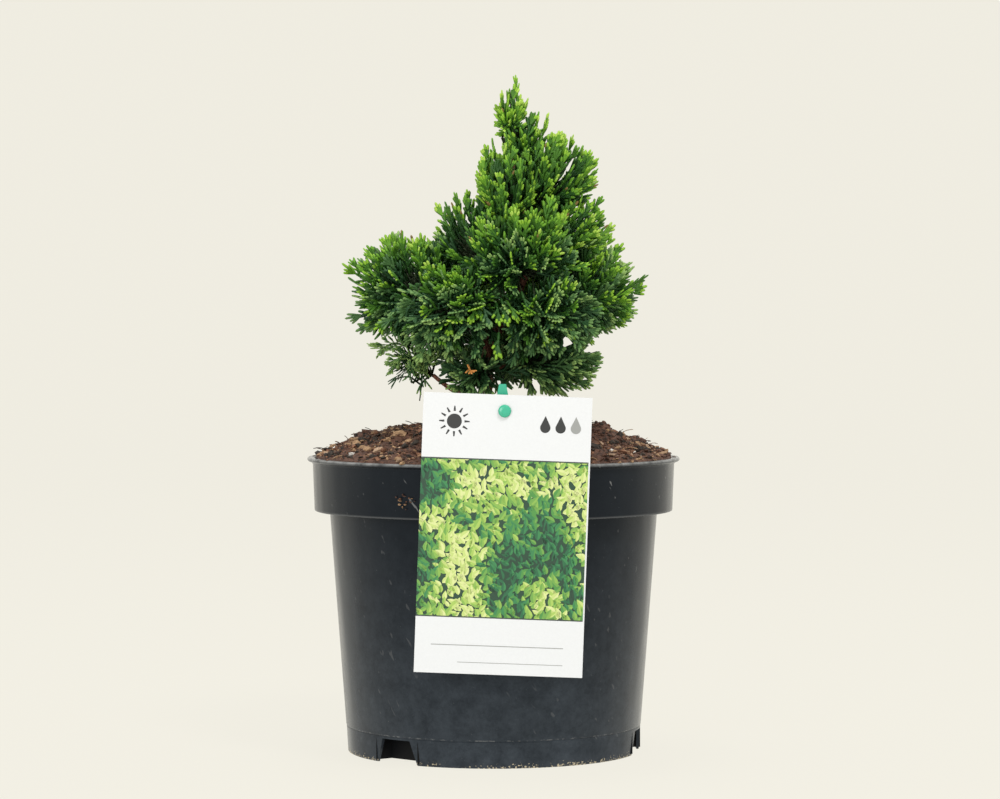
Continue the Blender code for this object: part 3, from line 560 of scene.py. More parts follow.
def pot_material():
    """Glossy blue-black plastic with ripples, scuffs, faint dust that also paints the floor's reflection,
    lighter and bluer towards the foot, painted highlights on the lip and the band's lower edge, and dried
    splashes along the foot.
    """
    made, tree, shader = shader_material("pot_plastic", POT_BLACK, roughness=0.2, specular=0.15)
    shader.inputs["Specular Tint"].default_value = (*POT_SHEEN, 1)
    vector = object_coordinates(tree)
    parts = add_node(tree, "ShaderNodeSeparateXYZ")
    tree.links.new(vector, parts.inputs["Vector"])
    height = parts.outputs["Z"]
    dust = noise_value(tree, vector, 95, 10, 0.8)
    specks = noise_value(tree, vector, 1500, 2, 0.5)
    clouds = noise_value(tree, vector, 30, 3)
    # Lighter and bluer towards the foot: faint dust and a painted reflection of the floor
    low_down = ranged(tree, height, BAND_LOW_HEIGHT, 20 * MM, 0.1, 1.0)
    dust_and_reflection = product(tree, ranged(tree, dust, 0.2, 0.8), low_down)
    base = mix_colours(tree, dust_and_reflection, POT_BLACK, POT_DUST_AND_REFLECTION)

    # Scuffs: scratches, specks, the seam and the worn lip; painted highlights on the lip and the band's low
    # edge
    slanting = vector
    for name, value in (("Rotation", (0, SCRATCH_SLANT, 0)), ("Scale", (1, 1, 0.05))):
        mapping = add_node(tree, "ShaderNodeMapping")
        mapping.inputs[name].default_value = value
        tree.links.new(slanting, mapping.inputs["Vector"])
        slanting = mapping.outputs["Vector"]
    streaks = ranged(tree, noise_value(tree, slanting, 420, 2, 0.4), 0.68, 0.72)
    on_band = ranged(tree, height, BAND_LOW_HEIGHT, BAND_LOW_HEIGHT + 4 * MM, 0.25, 1.0)
    scratched = product(tree, streaks, on_band, ranged(tree, clouds, 0.5, 0.56), 0.7)
    pale = ranged(tree, specks, 0.765, 0.80, 0, 0.6)
    # The lip is lighter, partly as wear and partly as a painted highlight on its rounded edge
    on_lip = ranged(tree, height, POT_HEIGHT - LIP_DROP, POT_HEIGHT - 0.6 * MM)
    rubbed_and_highlit_lip = product(tree, on_lip, ranged(tree, noise_value(tree, vector, 120, 5), 0.35, 0.6, 0.25, 1.0))
    off_seam = scalar(tree, "ABSOLUTE", scalar(tree, "SUBTRACT", height, SEAM_HEIGHT + 0.3 * MM), 0)
    dashes = ranged(tree, noise_value(tree, vector, 420, 3, 0.7), 0.5, 0.62)
    seam = product(tree, ranged(tree, off_seam, 0.45 * MM, 0.15 * MM), dashes, 0.45)
    # Painted highlight: a pale line along the band's lower edge
    low_on_band = ranged(tree, height, BAND_LOW_HEIGHT + 1.2 * MM, BAND_LOW_HEIGHT + 0.5 * MM)
    off_body = ranged(tree, height, BAND_LOW_HEIGHT - 0.4 * MM, BAND_LOW_HEIGHT - 0.2 * MM)
    edge = product(tree, low_on_band, 0.3, off_body)
    for share in (scratched, pale, rubbed_and_highlit_lip, seam, edge):
        base = mix_colours(tree, share, base, POT_SCUFF_AND_HIGHLIGHT)

    # Splashes that dried along the foot
    grit = noise_value(tree, vector, 900, 2, 0.6)
    near_foot = ranged(tree, height, SPLASH_HEIGHT, 0.0, 0.55, 1.0)
    splash = product(tree, near_foot, grit, ranged(tree, clouds, 0.35, 0.6, 0.82, 1.0))
    below = ranged(tree, height, SPLASH_HEIGHT, SPLASH_HEIGHT * 0.7)
    dirt = product(tree, ranged(tree, splash, 0.485, 0.52, 0, 0.85), below)
    base = mix_colours(tree, dirt, base, DRIED_DIRT)
    tree.links.new(base, shader.inputs["Base Color"])
    rough = ranged(tree, dust, 0.3, 0.7, 0.14, 0.24)
    tree.links.new(scalar(tree, "MAXIMUM", rough, dirt), shader.inputs["Roughness"])
    ripples = noise_value(tree, object_coordinates(tree, (1, 1, 0.28)), 26, 2, 0.5)
    surface = scalar(tree, "ADD", ripples, product(tree, specks, 0.012))
    add_bump(tree, shader, surface, strength=0.6, distance=2.2 * MM)
    return made


def plain_plastic(name, colour, roughness, grain=0.15, specular=0.5):
    """A smooth moulded or printed plastic with a very fine grain."""
    made, tree, shader = shader_material(name, colour, roughness, specular)
    cloud = noise_value(tree, object_coordinates(tree), scale=900, detail=3)
    mottled(tree, shader, cloud, colour, dark=0.95, light=1.03)
    add_bump(tree, shader, cloud, strength=grain, distance=0.1 * MM)
    return made


def stage_material():
    """Pale cream paper, lit so evenly that it is nearly without shadow."""
    made, _, shader = shader_material("stage_paper", tuple(c * STAGE_ALBEDO for c in CREAM), 1.0, 0.0)
    shader.inputs["Emission Color"].default_value = (*CREAM, 1)
    shader.inputs["Emission Strength"].default_value = STAGE_GLOW
    return made


# Mesh helpers

def link(obj):
    bpy.context.scene.collection.objects.link(obj)
    return obj


def mesh_object(name, points, faces, materials, slots=None, smooth=True):
    """An object from points and faces of any size. slots gives each face's material number."""
    mesh = bpy.data.meshes.new(name)
    mesh.from_pydata([tuple(p) for p in points], [], [tuple(f) for f in faces])
    for made in materials:
        mesh.materials.append(made)
    if slots is not None:
        mesh.polygons.foreach_set("material_index", np.asarray(slots, np.int32))
    if smooth:
        mesh.shade_smooth()
    mesh.update()
    return link(bpy.data.objects.new(name, mesh))


def block_mesh(name, blocks, face_sets, materials, slots, smooth=True):
    """One object from many blocks of points that share the same faces.

    blocks is (n, points, 3); face_sets lists faces of one block; slots is (n, faces).
    """
    count, per_block = blocks.shape[:2]
    mesh = bpy.data.meshes.new(name)
    mesh.vertices.add(count * per_block)
    mesh.vertices.foreach_set("co", blocks.astype(np.float32).ravel())
    sizes = np.array([len(face) for face in face_sets])
    flat = np.concatenate([np.asarray(face) for face in face_sets])
    corners = (flat[None, :] + np.arange(count)[:, None] * per_block).ravel()
    starts = np.concatenate(([0], np.cumsum(sizes)[:-1]))
    starts = (starts[None, :] + np.arange(count)[:, None] * sizes.sum()).ravel()
    mesh.loops.add(len(corners))
    mesh.loops.foreach_set("vertex_index", corners.astype(np.int32))
    mesh.polygons.add(len(starts))
    mesh.polygons.foreach_set("loop_start", starts.astype(np.int32))
    for made in materials:
        mesh.materials.append(made)
    mesh.polygons.foreach_set("material_index", slots.astype(np.int32).ravel())
    mesh.polygons.foreach_set("use_smooth", np.full(len(starts), smooth))
    mesh.update(calc_edges=True)
    return link(bpy.data.objects.new(name, mesh))


def ring_points(rings, sides):
    """Corners of level rings about the Z axis. rings gives each one's radius and height."""
    turns = [math.tau * side / sides for side in range(sides)]
    return [(radius * math.cos(t), radius * math.sin(t), height) for radius, height in rings for t in turns]


def ring_faces(rings, sides, closed_ends=True):
    """Faces between rings of corners, which follow each other, and over the two ends."""
    faces = []
    for ring in range(rings - 1):
        for side in range(sides):
            here = ring * sides + side
            beside = ring * sides + (side + 1) % sides
            faces.append((here, beside, beside + sides, here + sides))
    if closed_ends:
        faces.append(tuple(reversed(range(sides))))
        faces.append(tuple((rings - 1) * sides + side for side in range(sides)))
    return faces


def unit(vector):
    return vector / np.linalg.norm(vector)


def turned(vector, axis, angle):
    """The vector turned about the axis."""
    return np.array(Matrix.Rotation(angle, 3, Vector(axis)) @ Vector(vector))


def cut(target, cutter):
    """Cuts the cutter out of the target and removes it."""
    modifier = target.modifiers.new("cut", "BOOLEAN")
    modifier.operation = "DIFFERENCE"
    modifier.object = cutter
    bpy.context.view_layer.update()
    graph = bpy.context.evaluated_depsgraph_get()
    mesh = bpy.data.meshes.new_from_object(target.evaluated_get(graph))
    target.modifiers.clear()
    target.data = mesh
    bpy.data.objects.remove(cutter)


def with_outward_faces(obj):
    shape = bmesh.new()
    shape.from_mesh(obj.data)
    bmesh.ops.recalc_face_normals(shape, faces=shape.faces)
    shape.to_mesh(obj.data)
    shape.free()
    return obj


# Camera, lights and stage

def make_camera():
    data = bpy.data.cameras.new("camera")
    data.sensor_width = SENSOR
    data.lens = SENSOR * FOCAL_PIXELS / IMAGE_WIDTH
    camera = link(bpy.data.objects.new("camera", data))
    camera.location = CAMERA_PLACE
    down = math.atan((IMAGE_HEIGHT / 2 - HORIZON_PIXEL) / FOCAL_PIXELS)
    right = math.atan((IMAGE_WIDTH / 2 - AXIS_PIXEL) / FOCAL_PIXELS)
    camera.rotation_euler = (math.pi / 2 - down, 0, -right)
    bpy.context.scene.camera = camera


def make_lights():
    for name, place, size, watts, colour in LIGHTS:
        data = bpy.data.lights.new(name, "AREA")
        data.shape = "DISK"
        data.size = size
        data.energy = watts
        data.color = colour
        light = link(bpy.data.objects.new(name, data))
        light.location = place
        light.rotation_euler = (Vector(LIGHT_TARGET) - Vector(place)).to_track_quat("-Z", "Y").to_euler()
    world = bpy.data.worlds.new("studio")
    world.use_nodes = True
    background = world.node_tree.nodes["Background"]
    background.inputs["Color"].default_value = (*CREAM, 1)
    background.inputs["Strength"].default_value = WORLD_LIGHT
    bpy.context.scene.world = world
    bpy.context.scene.view_settings.view_transform = "Standard"


def make_stage():
    """A floor that curves up into the wall on every side."""
    profile = [(radius, 0.0) for radius in (*STAGE_INNER_RINGS, FLOOR_REACH)]
    for step in range(1, CURVE_STEPS + 1):
        angle = math.pi / 2 * step / CURVE_STEPS
        across = FLOOR_REACH + CURVE_RADIUS * math.sin(angle)
        profile.append((across, CURVE_RADIUS * (1 - math.cos(angle))))
    profile.append((FLOOR_REACH + CURVE_RADIUS, WALL_TOP))
    faces = ring_faces(len(profile), STAGE_SIDES, closed_ends=False)
    faces.append(tuple(range(STAGE_SIDES)))
    mesh_object("studio_floor", ring_points(profile, STAGE_SIDES), faces, [stage_material()])


# Trunk and boughs

def smooth_point(knots, share):
    """A point on the smooth curve through the knots, at a share of its way."""
    place = share * (len(knots) - 1)
    index = min(int(place), len(knots) - 2)
    t = place - index
    p1, p2 = knots[index], knots[index + 1]
    p0 = knots[index - 1] if index else p1 * 2 - p2
    p3 = knots[index + 2] if index + 2 < len(knots) else p2 * 2 - p1
    bend = (2 * p0 - 5 * p1 + 4 * p2 - p3) * t**2 + (3 * p1 - p0 - 3 * p2 + p3) * t**3
    return 0.5 * (2 * p1 + (p2 - p0) * t + bend)


def curve_point(start, control, end, t):
    return start * (1 - t) ** 2 + control * 2 * t * (1 - t) + end * t**2


def trunk_point(share):
    return smooth_point(TRUNK_AXIS, share)


def trunk_radius(share):
    height = trunk_point(share)[2] - TRUNK_AXIS[0][2]
    taper = TRUNK_FOOT_RADIUS + (TRUNK_TIP_RADIUS - TRUNK_FOOT_RADIUS) * share**TRUNK_TAPER
    return taper + FLARE_EXTRA * max(0, 1 - height / FLARE_HEIGHT) ** 2


def trunk_share_at(height):
    """How far along the trunk a height is, found by halving."""
    low, high = 0.0, 1.0
    for _ in range(30):
        middle = (low + high) / 2
        if trunk_point(middle)[2] < height:
            low = middle
        else:
            high = middle
    return low


def mean_size(lobe):
    return sum(lobe.half_size) / 3 * MM


def bough_path(lobe, rings):
    """Points and radii of the bough, which starts inside the trunk and ends in its mass."""
    centre = np.array(lobe.centre) * MM
    share = trunk_share_at(lobe.leaves_at * MM)
    axis = trunk_point(share)
    way = unit(centre - axis)
    along = unit(trunk_point(share + TRUNK_PROBE) - trunk_point(share - TRUNK_PROBE))
    outward = unit(way - along * way.dot(along))
    foot = axis + outward * trunk_radius(share)
    entry = min(mean_size(lobe) * BOUGH_ENTRY, np.linalg.norm(centre - foot) - SHORTEST_BOUGH)
    tip = centre + unit(foot - centre) * entry
    length = np.linalg.norm(tip - foot)
    bend = foot + outward * length * BOUGH_BEND - UP * length * BOUGH_SAG
    thick = min(1.0, THIN_BOUGH + length / FULL_BOUGH_LENGTH)
    path = [axis + outward * trunk_radius(share) * BOUGH_INSET]
    radii = [BOUGH_FOOT_RADIUS * thick * BOUGH_SWELL]
    for ring in range(rings):
        t = ring / (rings - 1)
        path.append(curve_point(foot, bend, tip, t))
        collar = 1 + BOUGH_COLLAR * max(0, 1 - t * 5)
        radii.append((BOUGH_FOOT_RADIUS + (BOUGH_TIP_RADIUS - BOUGH_FOOT_RADIUS) * t) * thick * collar)
    return path, radii


def bark_tube(path, radii, sides, seed):
    """Points and faces of a limb with strips and knots of bark standing out of it."""
    points = []
    side_way = unit(np.cross(unit(path[1] - path[0]), (0.3, 0.9, 0.2)))
    travelled = 0.0
    for index, centre in enumerate(path):
        ahead = unit(path[min(index + 1, len(path) - 1)] - path[max(index - 1, 0)])
        if index:
            travelled += np.linalg.norm(centre - path[index - 1])
        side_way = unit(side_way - ahead * side_way.dot(ahead))
        other_way = np.cross(ahead, side_way)
        for side in range(sides):
            angle = math.tau * side / sides
            across, over = math.cos(angle) * BARK_ROUND, math.sin(angle) * BARK_ROUND
            knot = noise.noise(Vector((across, over, travelled * KNOTS_ALONG + seed * 7)))
            along = travelled * STRIPS_ALONG + seed
            strip = noise.noise(Vector((across * STRIPS_ROUND, over * STRIPS_ROUND, along)))
            radius = radii[index] * (1 + BARK_RELIEF * strip + BARK_RELIEF * 0.8 * knot)
            points.append(centre + (side_way * math.cos(angle) + other_way * math.sin(angle)) * radius)
    return points, ring_faces(len(path), sides)


def make_limbs():
    """The trunk, its root flare and its boughs in one bark mesh."""
    points = []
    faces = []

    def add(path, radii, sides, seed):
        tube_points, tube_faces = bark_tube(path, radii, sides, seed)
        faces.extend(tuple(index + len(points) for index in face) for face in tube_faces)
        points.extend(tube_points)

    shares = np.linspace(0, 1, TRUNK_RINGS) ** TRUNK_RING_BIAS
    path = [trunk_point(share) for share in shares]
    path[0] = path[0] - UP * 1.2 * MM
    add(path, [trunk_radius(share) for share in shares], TRUNK_SIDES, 1)
    replaced = ["trunk"]
    for seed, lobe in enumerate(LOBES):
        if lobe.leaves_at:
            add(*bough_path(lobe, BOUGH_RINGS), BOUGH_SIDES, seed + 2)
            replaced.append("bough_" + lobe.name)
    limbs = mesh_object("trunk_and_boughs", points, faces, [bark_material()])
    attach(limbs, "root")
    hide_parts(*replaced)


# The spaces of the lobes

def soil_height(x, y):
    """Height of the solid mound at these places, as in the solids. Works on arrays."""
    radius = np.hypot(x, y)
    share = np.minimum(1, radius / BAND_TOP_RADIUS)
    dome = SOIL_EDGE + (SOIL_TOP - SOIL_EDGE) * (1 - share**SOIL_DOME_POWER)
    wave = np.sin(x * 95 + 1.3) * np.cos(y * 80 - 0.4) + 0.6 * np.sin(x * 210 - y * 170)
    fade = np.clip((radius - SOIL_FLAT_RADIUS) / (12 * MM), 0, 1) * (1 - share**4)
    return np.where(radius <= SOIL_FLAT_RADIUS, SOIL_TOP, dome + SOIL_BUMP * wave * fade)


class Space:
    """A lobe's rounded space, on its own side of each neighbour and over the soil."""

    def __init__(self, lobe):
        self.centre = np.array(lobe.centre) * MM
        self.half_size = np.array(lobe.half_size) * SPACE_SPILL * MM
        ways = []
        walls = []
        for other in LOBES:
            between = np.array(other.centre) * MM - self.centre
            apart = np.linalg.norm(between)
            if other is lobe or apart > max(self.half_size) + max(other.half_size) * MM:
                continue
            ways.append(between / apart)
            walls.append((apart**2 + mean_size(lobe) ** 2 - mean_size(other) ** 2) / (2 * apart))
        self.ways = np.array(ways)
        self.walls = np.array(walls)

    def share_out(self, points):
        """How far out each point is, where 1 is the rounded surface."""
        return np.sqrt((((points - self.centre) / self.half_size) ** 2).sum(-1))

    def past_walls(self, points):
        """How far each point is past the nearest neighbour's wall. Less than nothing is inside."""
        return ((points - self.centre) @ self.ways.T - self.walls).max(-1)

    def holds(self, points, spill, overlap):
        inside = (self.share_out(points) < spill) & (self.past_walls(points) < overlap)
        soil = soil_height(points[..., 0], points[..., 1])
        return inside & (points[..., 2] > soil + SOIL_CLEARANCE)

    def room(self, way, spill=1.0):
        """How far the space goes from its centre along the way, in whole millimetres."""
        steps = np.arange(1, FURTHEST + 1) * MM
        inside = self.holds(self.centre + steps[:, None] * way, spill, WALL_OVERLAP)
        return (FURTHEST if inside.all() else int(np.argmin(inside))) * MM


# Foliage

Rods = namedtuple("Rods", "start end width level parent")
AXIS, SHOOT, FINGER = range(3)


def spray_template(rng, length):
    """A flat spray of rods in its own frame (across, along): an axis, side shoots and their fingers."""
    rods = []

    def add(start, angle, size, width, level, parent):
        end = (start[0] + math.sin(angle) * size, start[1] + math.cos(angle) * size)
        rods.append((start, end, width, level, parent))
        return end, len(rods) - 1

    axis_length = length - LONGEST_FINGER * 0.8
    shoots = max(2, round(axis_length / SHOOT_GAP))
    place = (0.0, -SPRAY_FOOT)
    lean = rng.uniform(-LEAN_STEP, LEAN_STEP)
    parent = -1
    side = rng.choice((-1, 1))
    for index in range(shoots):
        share = (index + 1) / (shoots + 1)
        lean += rng.uniform(-LEAN_STEP, LEAN_STEP)
        size = axis_length / shoots + (SPRAY_FOOT if index == 0 else 0)
        place, parent = add(place, lean, size * 1.05, FINGER_WIDTH * (1 - 0.15 * share), AXIS, parent)
        side = -side
        envelope = 0.45 + 0.55 * math.sin(math.pi * min(1, 0.25 + share * 0.8))
        angle = side * math.radians(48 - 16 * share + rng.uniform(-6, 6)) + lean
        grow_shoot(rng, add, place, angle, length * 0.5 * envelope, side, parent)
    add(place, lean, LONGEST_FINGER * rng.uniform(0.8, 1), FINGER_WIDTH, FINGER, parent)
    for turn in (-0.4, 0.4):
        add(place, lean + turn, LONGEST_FINGER * rng.uniform(0.65, 0.9), FINGER_WIDTH * 0.95, FINGER, parent)
    starts, ends, *others = zip(*rods)
    flat = [np.array([(*place, 0) for place in places]) for places in (starts, ends)]
    return Rods(*flat, *(np.array(values) for values in others))


def grow_shoot(rng, add, place, angle, reach, side, parent):
    """A side shoot that bends forward, with fingers on alternate sides and a blunt end."""
    last = LONGEST_FINGER * rng.uniform(0.65, 1)
    count = int(max(0, reach - last) / SHOOT_GAP)
    finger_side = side
    for index in range(count):
        place, parent = add(place, angle, SHOOT_GAP, FINGER_WIDTH * 0.9, SHOOT, parent)
        angle -= side * 0.1
        finger_side = -finger_side
        size = LONGEST_FINGER * rng.uniform(0.6, 0.85) * (1 - 0.25 * (index + 1) / (count + 1))
        add(place, angle + finger_side * rng.uniform(0.4, 0.62), size, FINGER_WIDTH * 0.95, FINGER, parent)
    add(place, angle, last, FINGER_WIDTH * 0.97, FINGER, parent)


def bent(points, length, cup, arch):
    """The spray's points with its sides cupped up and its end arched up."""
    across, along = points[:, 0], points[:, 1]
    rise = cup * across**2 / length + arch * np.maximum(along, 0) ** 2 / length
    return np.column_stack((across, along, rise))


def place_spray(template, length, root, way, roll, cup, arch):
    """The rods' starts and ends in space, and the spray's flat side."""
    across = np.cross(way, UP)
    if np.linalg.norm(across) < 0.2:
        across = np.cross(way, (0, 1, 0))
    across = turned(unit(across), way, roll)
    normal = np.cross(across, way)
    if normal[2] < 0:
        normal = -normal
    frame = np.array((across, way, normal))
    starts = root + bent(template.start, length, cup, arch) @ frame
    ends = root + bent(template.end, length, cup, arch) @ frame
    return starts, ends, normal


def open_places(points):
    """True where a point is clear of the windows to the trunk and of the holes to the sky."""
    share = CAMERA_PLACE[1] / (CAMERA_PLACE[1] - points[:, 1])
    across = points[:, 0] * share / MM
    up = (CAMERA_PLACE[2] + (points[:, 2] - CAMERA_PLACE[2]) * share) / MM
    clear = np.ones(len(points), bool)
    for window_across, window_up, radius in TRUNK_WINDOWS:
        clear &= (np.hypot(across - window_across, up - window_up) > radius) | (points[:, 1] > -2 * MM)
    for hole_across, hole_up, radius in SKY_HOLES:
        clear &= np.hypot(across - hole_across, up - hole_up) > radius
    return clear


class Growth:
    """Collects the rods of one lobe's leaves, and of its twigs."""

    def __init__(self):
        self.leaves = []
        self.twigs = []

    def add_leaves(self, starts, ends, normal, widths, body, tip):
        flat = np.repeat(normal[None, :], len(starts), 0)
        self.leaves.append(np.column_stack((starts, ends, flat, widths, body, tip)))

    def add_twig(self, path, radii):
        for start, end, radius in zip(path, path[1:], radii):
            ahead = unit(end - start)
            normal = unit(np.cross(ahead, (0.3, 0.4, 0.87)))
            self.twigs.append((*start, *(end + ahead * radius * 0.5), *normal, radius * 2))


def leaf_shades(lobe, space, tips, levels, rng):
    """Colour numbers of each rod's body and end: painted light and shade make them lighter further out,
    higher up, facing up and in lighter lobes, and darker deep inside; outer tips are lighter still, as fresh
    growth and as a painted highlight.
    """
    out = space.share_out(tips)
    # Painted shade: leaves deep inside the crown, past a neighbour's wall, get darker colours
    painted_inner_shade = np.clip((space.past_walls(tips) + 6 * MM) / (9 * MM), 0, 1)
    facing_up = (tips[:, 2] - space.centre[2]) / space.half_size[2]
    height = (tips[:, 2] - CROWN_MIDDLE) / CROWN_HALF_HEIGHT
    # Painted light and shade: lighter further out, facing up, higher up and in lobes given more light
    score = 2.6 * (out - 0.72) - 1.1 * painted_inner_shade + 0.4 * facing_up + 0.5 * height + lobe.light
    score = score + rng.gauss(0, 0.45) + np.array([rng.gauss(0, 0.13) for _ in tips])
    body = np.clip(np.round(1.1 + score), 0, 3)
    # Outer finger tips that are not deep inside get lighter colours: partly fresh growth, partly a painted
    # highlight
    fresh = (levels == FINGER) & (out > max(0.7, np.quantile(out, DULL_SHARE))) & (painted_inner_shade < 0.75)
    keen = rng.random()
    lift = np.where(fresh, 2 if keen < VERY_KEEN else 1 if keen < KEEN else 0, 0)
    tip = np.clip(body + lift, 0, FRESHEST)
    warmth = (tips[:, 2].mean() - COOL_BELOW) / (WARM_ABOVE - COOL_BELOW)
    if rng.random() > warmth + 0.1:
        body, tip = COOLER[body.astype(int)], COOLER[tip.astype(int)]
    budding = np.array([rng.random() < BUD_SHARE for _ in tips]) & fresh & (tips[:, 2] > BUDS_ABOVE)
    return body, np.where(budding, BUD, tip)


def stem_of(lobe, space, growth):
    """The lobe's own stem, which carries on from its bough or from the trunk's tip."""
    if lobe.leaves_at:
        path, radii = bough_path(lobe, 8)
        tip, before, radius = path[-1], path[-2], radii[-1]
    else:
        tip, before, radius = trunk_point(1), trunk_point(0.97), TRUNK_TIP_RADIUS
    onward = unit(space.centre - tip)
    last = unit(onward + UP * lobe.lift * 0.6)
    end = space.centre + last * space.room(last) * lobe.habit.stem_reach
    middle = tip + (space.centre - tip) * 0.6 + unit(tip - before) * 0.5 * MM
    stem = [tip - unit(tip - before) * 1 * MM, middle, end]
    points = [smooth_point(stem, step / (STEM_POINTS - 1)) for step in range(STEM_POINTS)]
    growth.add_twig(points, np.linspace(radius, STEM_TIP_RADIUS, STEM_POINTS))
    return stem


def grow_lobe(lobe, templates, growth):
    """Stem, twigs and sprays of one lobe. The sprays end at even places over its surface and inside it."""
    rng = random.Random("fine " + lobe.name)
    space = Space(lobe)
    stem = stem_of(lobe, space, growth)
    count = int(SPRAYS_PER_AREA * mean_size(lobe) ** 2 * lobe.habit.share)
    lean = np.array(lobe.lean)
    for index in range(count):
        cosine = 1 - 2 * (index + 0.5) / count
        sine = math.sqrt(1 - cosine**2)
        turn = index * GOLDEN_ANGLE + rng.uniform(-0.2, 0.2)
        way = np.array((sine * math.cos(turn), sine * math.sin(turn), cosine))
        kind = rng.random()
        if kind < INNER_SHARE:
            spill = rng.uniform(*INNER_SPILL)
        elif kind < INNER_SHARE + STRAY_SHARE:
            spill = rng.uniform(*STRAY_SPILL)
        else:
            spill = rng.uniform(*OUTER_SPILL)
        target = space.centre + way * space.room(way, spill)
        if space.past_walls(target[None])[0] > -1 * MM and rng.random() < 0.5:
            continue
        heading = unit(way + lean + UP * 0.35 * way[2])
        grow_spray(lobe, space, stem, target, heading, spill, templates, rng, growth)


def resized(template, breadth, scale):
    """The template at a scale, and its breadth scaled once more."""
    shape = np.array((breadth, 1, 1)) * scale
    return template._replace(start=template.start * shape, end=template.end * shape)


def grow_spray(lobe, space, stem, target, way, spill, templates, rng, growth):
    """A twig from the stem and the spray on its end, whose tip comes to the target."""
    length = LONGEST_SPRAY * rng.uniform(0.72, 1.0)
    root = target - way * length
    while space.share_out(root[None])[0] > 0.8 or space.past_walls(root[None])[0] > 0:
        length *= 0.85
        way = unit(way + unit(target - space.centre) * 0.25)
        root = target - way * length
        if length < SHORTEST_SPRAY:
            return
    axis = stem[-1] - stem[0]
    along = (root - stem[0]).dot(axis) / axis.dot(axis)
    start = smooth_point(stem, min(0.95, max(0.1, along - 0.3)))
    distance = np.linalg.norm(root - start)
    if distance > 1 * MM:
        control = root - way * distance * 0.4
        path = [curve_point(start, control, root, t) for t, _ in TWIG_STEPS]
        growth.add_twig(path, [TWIG_RADIUS * share for _, share in TWIG_STEPS])
    size = min(templates, key=lambda key: abs(key - length))
    spray = resized(rng.choice(templates[size]), lobe.habit.spread, length / size)
    roll, cup, arch = rng.uniform(-SPRAY_ROLL, SPRAY_ROLL), rng.uniform(*SPRAY_CUP), rng.uniform(*SPRAY_ARCH)
    starts, ends, normal = place_spray(spray, length, root, way, roll, cup, arch)
    keep = space.holds(ends, spill + 0.09, TIP_OVERLAP)
    keep &= open_places(ends) & open_places((starts + ends) / 2)
    for index, parent in enumerate(spray.parent):
        if parent >= 0 and not keep[parent]:
            keep[index] = False
    if keep.sum() < FEWEST_RODS:
        return
    starts, ends, levels = starts[keep], ends[keep], spray.level[keep]
    body, tip = leaf_shades(lobe, space, ends, levels, rng)
    growth.add_leaves(starts, ends, normal, spray.width[keep] * lobe.habit.stoutness, body, tip)


def grow_dead_spray(templates, growth):
    """The one withered spray, which hangs on the front of the crown."""
    template = random.Random("withered").choice(templates[SPRAY_SIZES[0]])
    spray = resized(template, 1, 0.7)
    starts, ends, normal = place_spray(
        spray, DEAD_LENGTH, DEAD_PLACE, unit(np.array(DEAD_WAY)), roll=0.6, cup=0.9, arch=0.5
    )
    shades = np.full(len(starts), DEAD)
    growth.add_leaves(starts, ends, normal, spray.width * 0.7, shades, shades)
    growth.add_twig([DEAD_PLACE + np.array((4, 12, 6)) * MM, DEAD_PLACE], [0.4 * MM, 0.4 * MM])


def grow_wisps(templates, growth):
    """Thin twigs at the left foot of the crown, with thin pale sprays on all but the bare ones."""
    rng = random.Random("wisps")
    size = SPRAY_SIZES[0]
    for leafy, *knots in HANGING_TWIGS:
        knots = np.array(knots) * MM
        path = [smooth_point(knots, step / WISP_STEPS) for step in range(WISP_STEPS + 1)]
        growth.add_twig(path, np.linspace(*WISP_RADII, WISP_STEPS + 1))
        if not leafy:
            continue
        for index in range(2, WISP_STEPS + 1):
            along = unit(path[index] - path[index - 1])
            for side in (-1, 1):
                way = turned(along, (0, 1, 0), side * rng.uniform(0.3, 0.9))
                way = unit(way + np.array((0, rng.uniform(-0.4, 0.4), 0)))
                length = rng.uniform(*WISP_LENGTHS) * MM
                spray = resized(rng.choice(templates[size]), WISPY.spread, length / size)
                roll = rng.uniform(-1, 1)
                starts, ends, normal = place_spray(spray, length, path[index], way, roll, cup=0.2, arch=0.1)
                body = np.full(len(starts), rng.choice(WISP_SHADES))
                tip = np.full(len(starts), WISP_SHADES[-1])
                growth.add_leaves(starts, ends, normal, spray.width * WISPY.stoutness, body, tip)


def grow_fringe(templates, growth):
    """Drooping sprays along the front of the crown, dark at the root and fresh at the tips."""
    rng = random.Random("fringe")
    for x, z, reach in FRINGE:
        length = reach * MM
        y = FRINGE_FRONT + FRINGE_CURVE * (x / 60) ** 2 + rng.uniform(0, 5)
        way = unit(np.array((x * 0.014 + rng.uniform(-0.3, 0.3), rng.uniform(-0.8, -0.4), -0.75)))
        root = np.array((x, y, z)) * MM - way * length
        size = SPRAY_SIZES[0] if reach < 13 else SPRAY_SIZES[1]
        spray = resized(rng.choice(templates[size]), FRINGE_BREADTH, length / size)
        roll, cup = rng.uniform(-0.5, 0.5), rng.uniform(0.1, 0.4)
        starts, ends, normal = place_spray(spray, length, root, way, roll, cup, arch=-0.1)
        behind = root + (np.array((0, 8, 3)) - way * 8) * MM
        growth.add_twig([behind, root], [0.5 * MM, 0.42 * MM])
        body, tip = rng.choice(FRINGE_SHADES)
        far = np.linalg.norm(ends - root, axis=1) > FRINGE_DARK * length
        tips = np.where(far & (spray.level == FINGER), tip, body)
        growth.add_leaves(starts, ends, normal, spray.width * 1.1, np.full(len(starts), body), tips)


